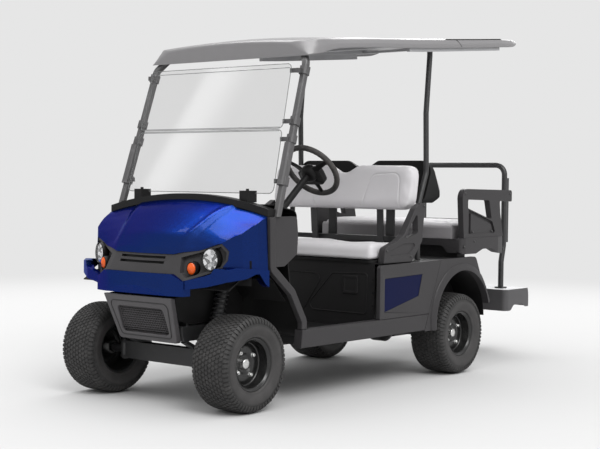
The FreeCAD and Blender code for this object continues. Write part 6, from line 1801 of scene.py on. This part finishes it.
@dataclass
class Bodywork:
    """Rigid nodes shown as eased copies of their solids.

    Args:
        clip_place: Distance out of a windscreen clip's middle.
        clip_width: Width of a clip as a share of its solid's.
        finishes: How each node is dressed.
    """

    clip_place: float = 0.402
    clip_width: float = 0.72
    finishes: dict[str, Dressing] = field(default_factory=lambda: {
        "frame": Dressing(CHASSIS, 0.003), "outriggers": Dressing(CHASSIS, 0.002),
        "front_axle": Dressing(CHASSIS, 0.003), "knuckle_left": Dressing(STEEL, 0.0015),
        "knuckle_right": Dressing(STEEL, 0.0015), "tie_rod": Dressing(STEEL, 0.001),
        "front_springs": Dressing(STEEL, 0.0015), "rear_axle": Dressing(CHASSIS, 0.002),
        "rear_springs": Dressing(STEEL, 0.0015), "drive_motor": Dressing(MOTOR, 0.004),
        "battery_pack": Dressing(CASE, 0.006), "floor_pan": Dressing(BLACK, 0.002), "pedals": Dressing(BLACK, 0.003),
        "rocker_panels": Dressing(DARK, 0.006), "fascia": Dressing(DARK, 0.002),
        "lower_grille": Dressing(GRILLE_GREY, 0.005, segments=3),
        "wheel_liners": Dressing(BLACK, 0.001), "cowl_pillars": Dressing(DARK, 0.005),
        "dash": Dressing(BLACK, 0.002), "cowl_side_shields": Dressing(DARK, 0.005, segments=3),
        "front_struts": Dressing(STRUT, 0.001), "windshield_lower": Dressing(SCREEN, 0.0008),
        "windshield_upper": Dressing(SCREEN, 0.0008), "windshield_clips": Dressing(BLACK, 0.004),
        "steering_column": Dressing(BLACK, 0.003), "seat_pod": Dressing(KICK, 0.0015),
        "side_panels": Dressing(DARK, 0.006, segments=3), "side_inserts": Dressing(NAVY, 0.001),
        "rear_fenders": Dressing(DARK, 0.006, segments=3), "front_seat_base": Dressing(BLACK, 0.003),
        "hip_restraints": Dressing(DARK, 0.009, segments=3), "rear_struts": Dressing(STEEL, 0.001),
        "rear_back_shell": Dressing(BLACK, 0.006, segments=3), "rear_seat_tray": Dressing(DARK, 0.007, segments=3),
        "rear_seat_base": Dressing(PAN_GREY, 0.006, segments=3), "rear_armrests": Dressing(DARK, 0.008, segments=3),
        "roof_rails": Dressing(RAIL_SKIN, 0.002),
        "footrest": Dressing(DECK, 0.006, segments=3), "grab_bar": Dressing(STEEL, 0.001)})

    def build(self) -> None:
        """Copies and dresses each node; the windscreen's clips are drawn narrower about their middles."""
        for node, dressing in self.finishes.items():
            eased_copy(node, dressing)
        made = bpy.data.objects["windshield_clips_skin"]
        x, y, z = coordinates(made).T
        out = self.clip_place + (np.abs(x) - self.clip_place) * self.clip_width
        move_to(made, np.stack([np.sign(x) * out, y, z], -1))


@dataclass
class Canopy:
    """Crowned roof sheet, open below, with dark lines as painted shade for its vent slots, and its seams.

    Args:
        sections: Per station (y, low edge, widening, lean of the side, edge height, crown height).
        half: Half its width.
        wall: Its thickness.
        soft: How far its upper corner is softened.
        front: How far its front edge is rounded.
        slot: The two ends of the vent slot along the cart.
        seam: Place of the seam along the cart.
    """

    sections: Marks = (
        (0.43, 1.881, 0.002, 0.13, 0.076, 0.098), (0.456, 1.886, 0.008, 0.076, 0.084, 0.104),
        (0.52, 1.897, 0.012, 0.024, 0.082, 0.104), (0.6, 1.92, 0.008, 0.016, 0.066, 0.094),
        (0.67, 1.935, 0.004, 0.014, 0.056, 0.088), (0.85, 1.957, 0.0, 0.014, 0.05, 0.084),
        (1.594, 2.016, 0.0, 0.014, 0.054, 0.084), (2.45, 2.096, 0.0, 0.014, 0.052, 0.074),
        (2.6, 2.112, -0.01, 0.016, 0.046, 0.062), (2.672, 2.134, -0.028, 0.018, 0.026, 0.042),
        (2.702, 2.15, -0.046, 0.012, 0.008, 0.022))
    half: float = 0.6
    wall: float = 0.01
    soft: float = 0.016
    front: float = 0.01
    slot: tuple[float, float] = (1.8, 2.46)
    seam: float = 1.93

    def skin(self, place: Array, wall: float) -> Array:
        """Rows of the skin at each place along the cart, moved in by the wall.

        Side: straight from the low edge to the lean, bulged by a sine; corner: softened by a quadratic curve; top:
        edge height plus the crown's rise times one less the square of x over its half.

        Args:
            place: Places along the cart.
            wall: How far the skin is moved in.

        Returns:
            One row of points per place, from the low edge on +X over the top to the one on -X.
        """
        low, widen, lean, edge, crown = pchip(self.sections, place).T[:, :, None]
        half = self.half + widen - wall
        top, peak = low + edge - wall, low + crown - wall
        up = np.linspace(0.0, 1.0, 12)[None]
        run = half - lean
        side_x = half - lean * up + 0.004 * np.sin(math.pi * up) * (edge > 0.03)
        side_z = low + (top - low) * up
        wide = np.linspace(1.0, -1.0, 49)[None]
        top_x = run * wide
        top_z = top + (peak - top) * (1.0 - wide ** 2)
        bend = np.minimum(self.soft, 0.4 * edge)
        share = np.linspace(0.0, 1.0, 8)[None]
        start = np.concatenate([run + lean * bend / edge, top - bend], 1)
        end = np.concatenate([run - bend, top + (peak - top) * (1.0 - ((run - bend) / run) ** 2)], 1)
        curve = [(1 - share) ** 2 * start[:, axis:axis + 1] + 2 * share * (1 - share) * (run, top)[axis]
                 + share ** 2 * end[:, axis:axis + 1] for axis in (0, 1)]
        keep = up[0] < 0.58
        inner = np.abs(wide[0]) < 0.955
        edge_x = np.concatenate([side_x[:, keep], curve[0]], 1)
        edge_z = np.concatenate([side_z[:, keep], curve[1]], 1)
        x = np.concatenate([edge_x, top_x[:, inner], -edge_x[:, ::-1]], 1)
        z = np.concatenate([edge_z, top_z[:, inner], edge_z[:, ::-1]], 1)
        y = np.broadcast_to(FRONT_Y + place[:, None], x.shape)
        return np.stack([x, y, z], -1)

    def build(self) -> None:
        """Makes the sheet and its lines: outer and inner skin joined at their rims, with a rounded front edge.

        The front edge falls by front - sqrt(front ** 2 - t ** 2), t being how near a place is to it.
        """
        first, last = self.sections[0][0], self.sections[-1][0]
        place = np.concatenate([first + np.array([0.0, 0.002, 0.005, 0.01]), np.linspace(0.446, 0.9, 46),
                                np.linspace(0.93, 2.4, 50), np.linspace(2.42, last - 0.006, 26),
                                [last - 0.002, last]])
        near = np.clip(self.front - (place - first), 0.0, self.front)
        ease = self.front - np.sqrt(np.clip(self.front ** 2 - near ** 2, 0.0, None))
        outer = self.skin(place, 0.0)
        outer[:, :, 2] -= ease[:, None] * unit((outer[:, :, 2] - outer[:, :1, 2]) / 0.04)
        outer[:, :, 0] *= (1.0 - ease / self.half)[:, None]
        inner = self.skin(np.clip(place, first + self.wall, last - self.wall), self.wall)
        inner[:, :, 2] = np.maximum(inner[:, :, 2], outer[:, :1, 2])
        made = outward(add_mesh("canopy", np.stack([outer, inner]), self.faces(*outer.shape[:2]), ROOF_SKIN))
        corners = np.empty(len(made.data.polygons), np.int32)
        made.data.polygons.foreach_get("loop_total", corners)
        made.data.polygons.foreach_set("use_smooth", corners == 4)
        fitted(made.name, "chassis", slot_of("roof"), "roof")
        self.lines()

    def faces(self, rows: int, columns: int) -> list[list[int]]:
        """Faces of the two skins, the outer one's points first: quads along the rims, caps across the two ends.

        Args:
            rows: Places along the cart.
            columns: Points across the skin.

        Returns:
            Vertex numbers of each face.
        """
        count = rows * columns
        skins = grid_faces(rows, columns).tolist()
        skins += [[index + count for index in face[::-1]] for face in skins]
        for start in (0, columns - 1):
            edge = list(range(start, count, columns))
            skins += [[one, other, other + count, one + count] for one, other in zip(edge, edge[1:])]
        ends = [list(range(columns)), list(range(count - columns, count))]
        skins += [[edge[0], edge[-1], edge[-1] + count, edge[0] + count] for edge in ends]
        return skins + ends + [[index + count for index in edge[::-1]] for edge in ends]

    def lines(self) -> None:
        """Dark line along each upper corner, painted shade of the vent slot's recess, and a dark slanting seam across
        it, both on the skin.
        """
        parts = []
        for side in (1, -1):
            # painted shade: the slot is a dark tube on the skin that stands in for the shade in the vent's recess
            slot = self.skin(np.linspace(*self.slot, 40), -0.0004)[:, 12]
            seam = self.skin(np.array([self.seam]), -0.0004)[0, 2:13]
            seam[:, 1] += np.linspace(0.024, -0.024, len(seam))
            for name, path, radius, sides in (("slot", slot, 0.0042, 8), ("seam", seam, 0.0016, 6)):
                path[:, 0] = side * np.abs(path[:, 0])
                parts.append(add_tube(name, path, radius, PAINTED_SHADE_AND_JOINT, sides))
        merge("canopy_lines", parts)
        fitted("canopy_lines", "chassis", slot_of("roof"))


def main() -> None:
    """Builds the sub-assemblies in order."""
    logging.basicConfig(level=logging.INFO, format="%(name)s: %(message)s")
    Studio().build()
    for corner in ("front_left", "front_right", "rear_left", "rear_right"):
        Wheel(corner, Side.LEFT if corner.endswith("left") else Side.RIGHT).build()
    Bodywork().build()
    Canopy().build()
    Nose().build()
    Cockpit().build()
    Seats().build()


if __name__ == "__main__":
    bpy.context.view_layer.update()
    main()
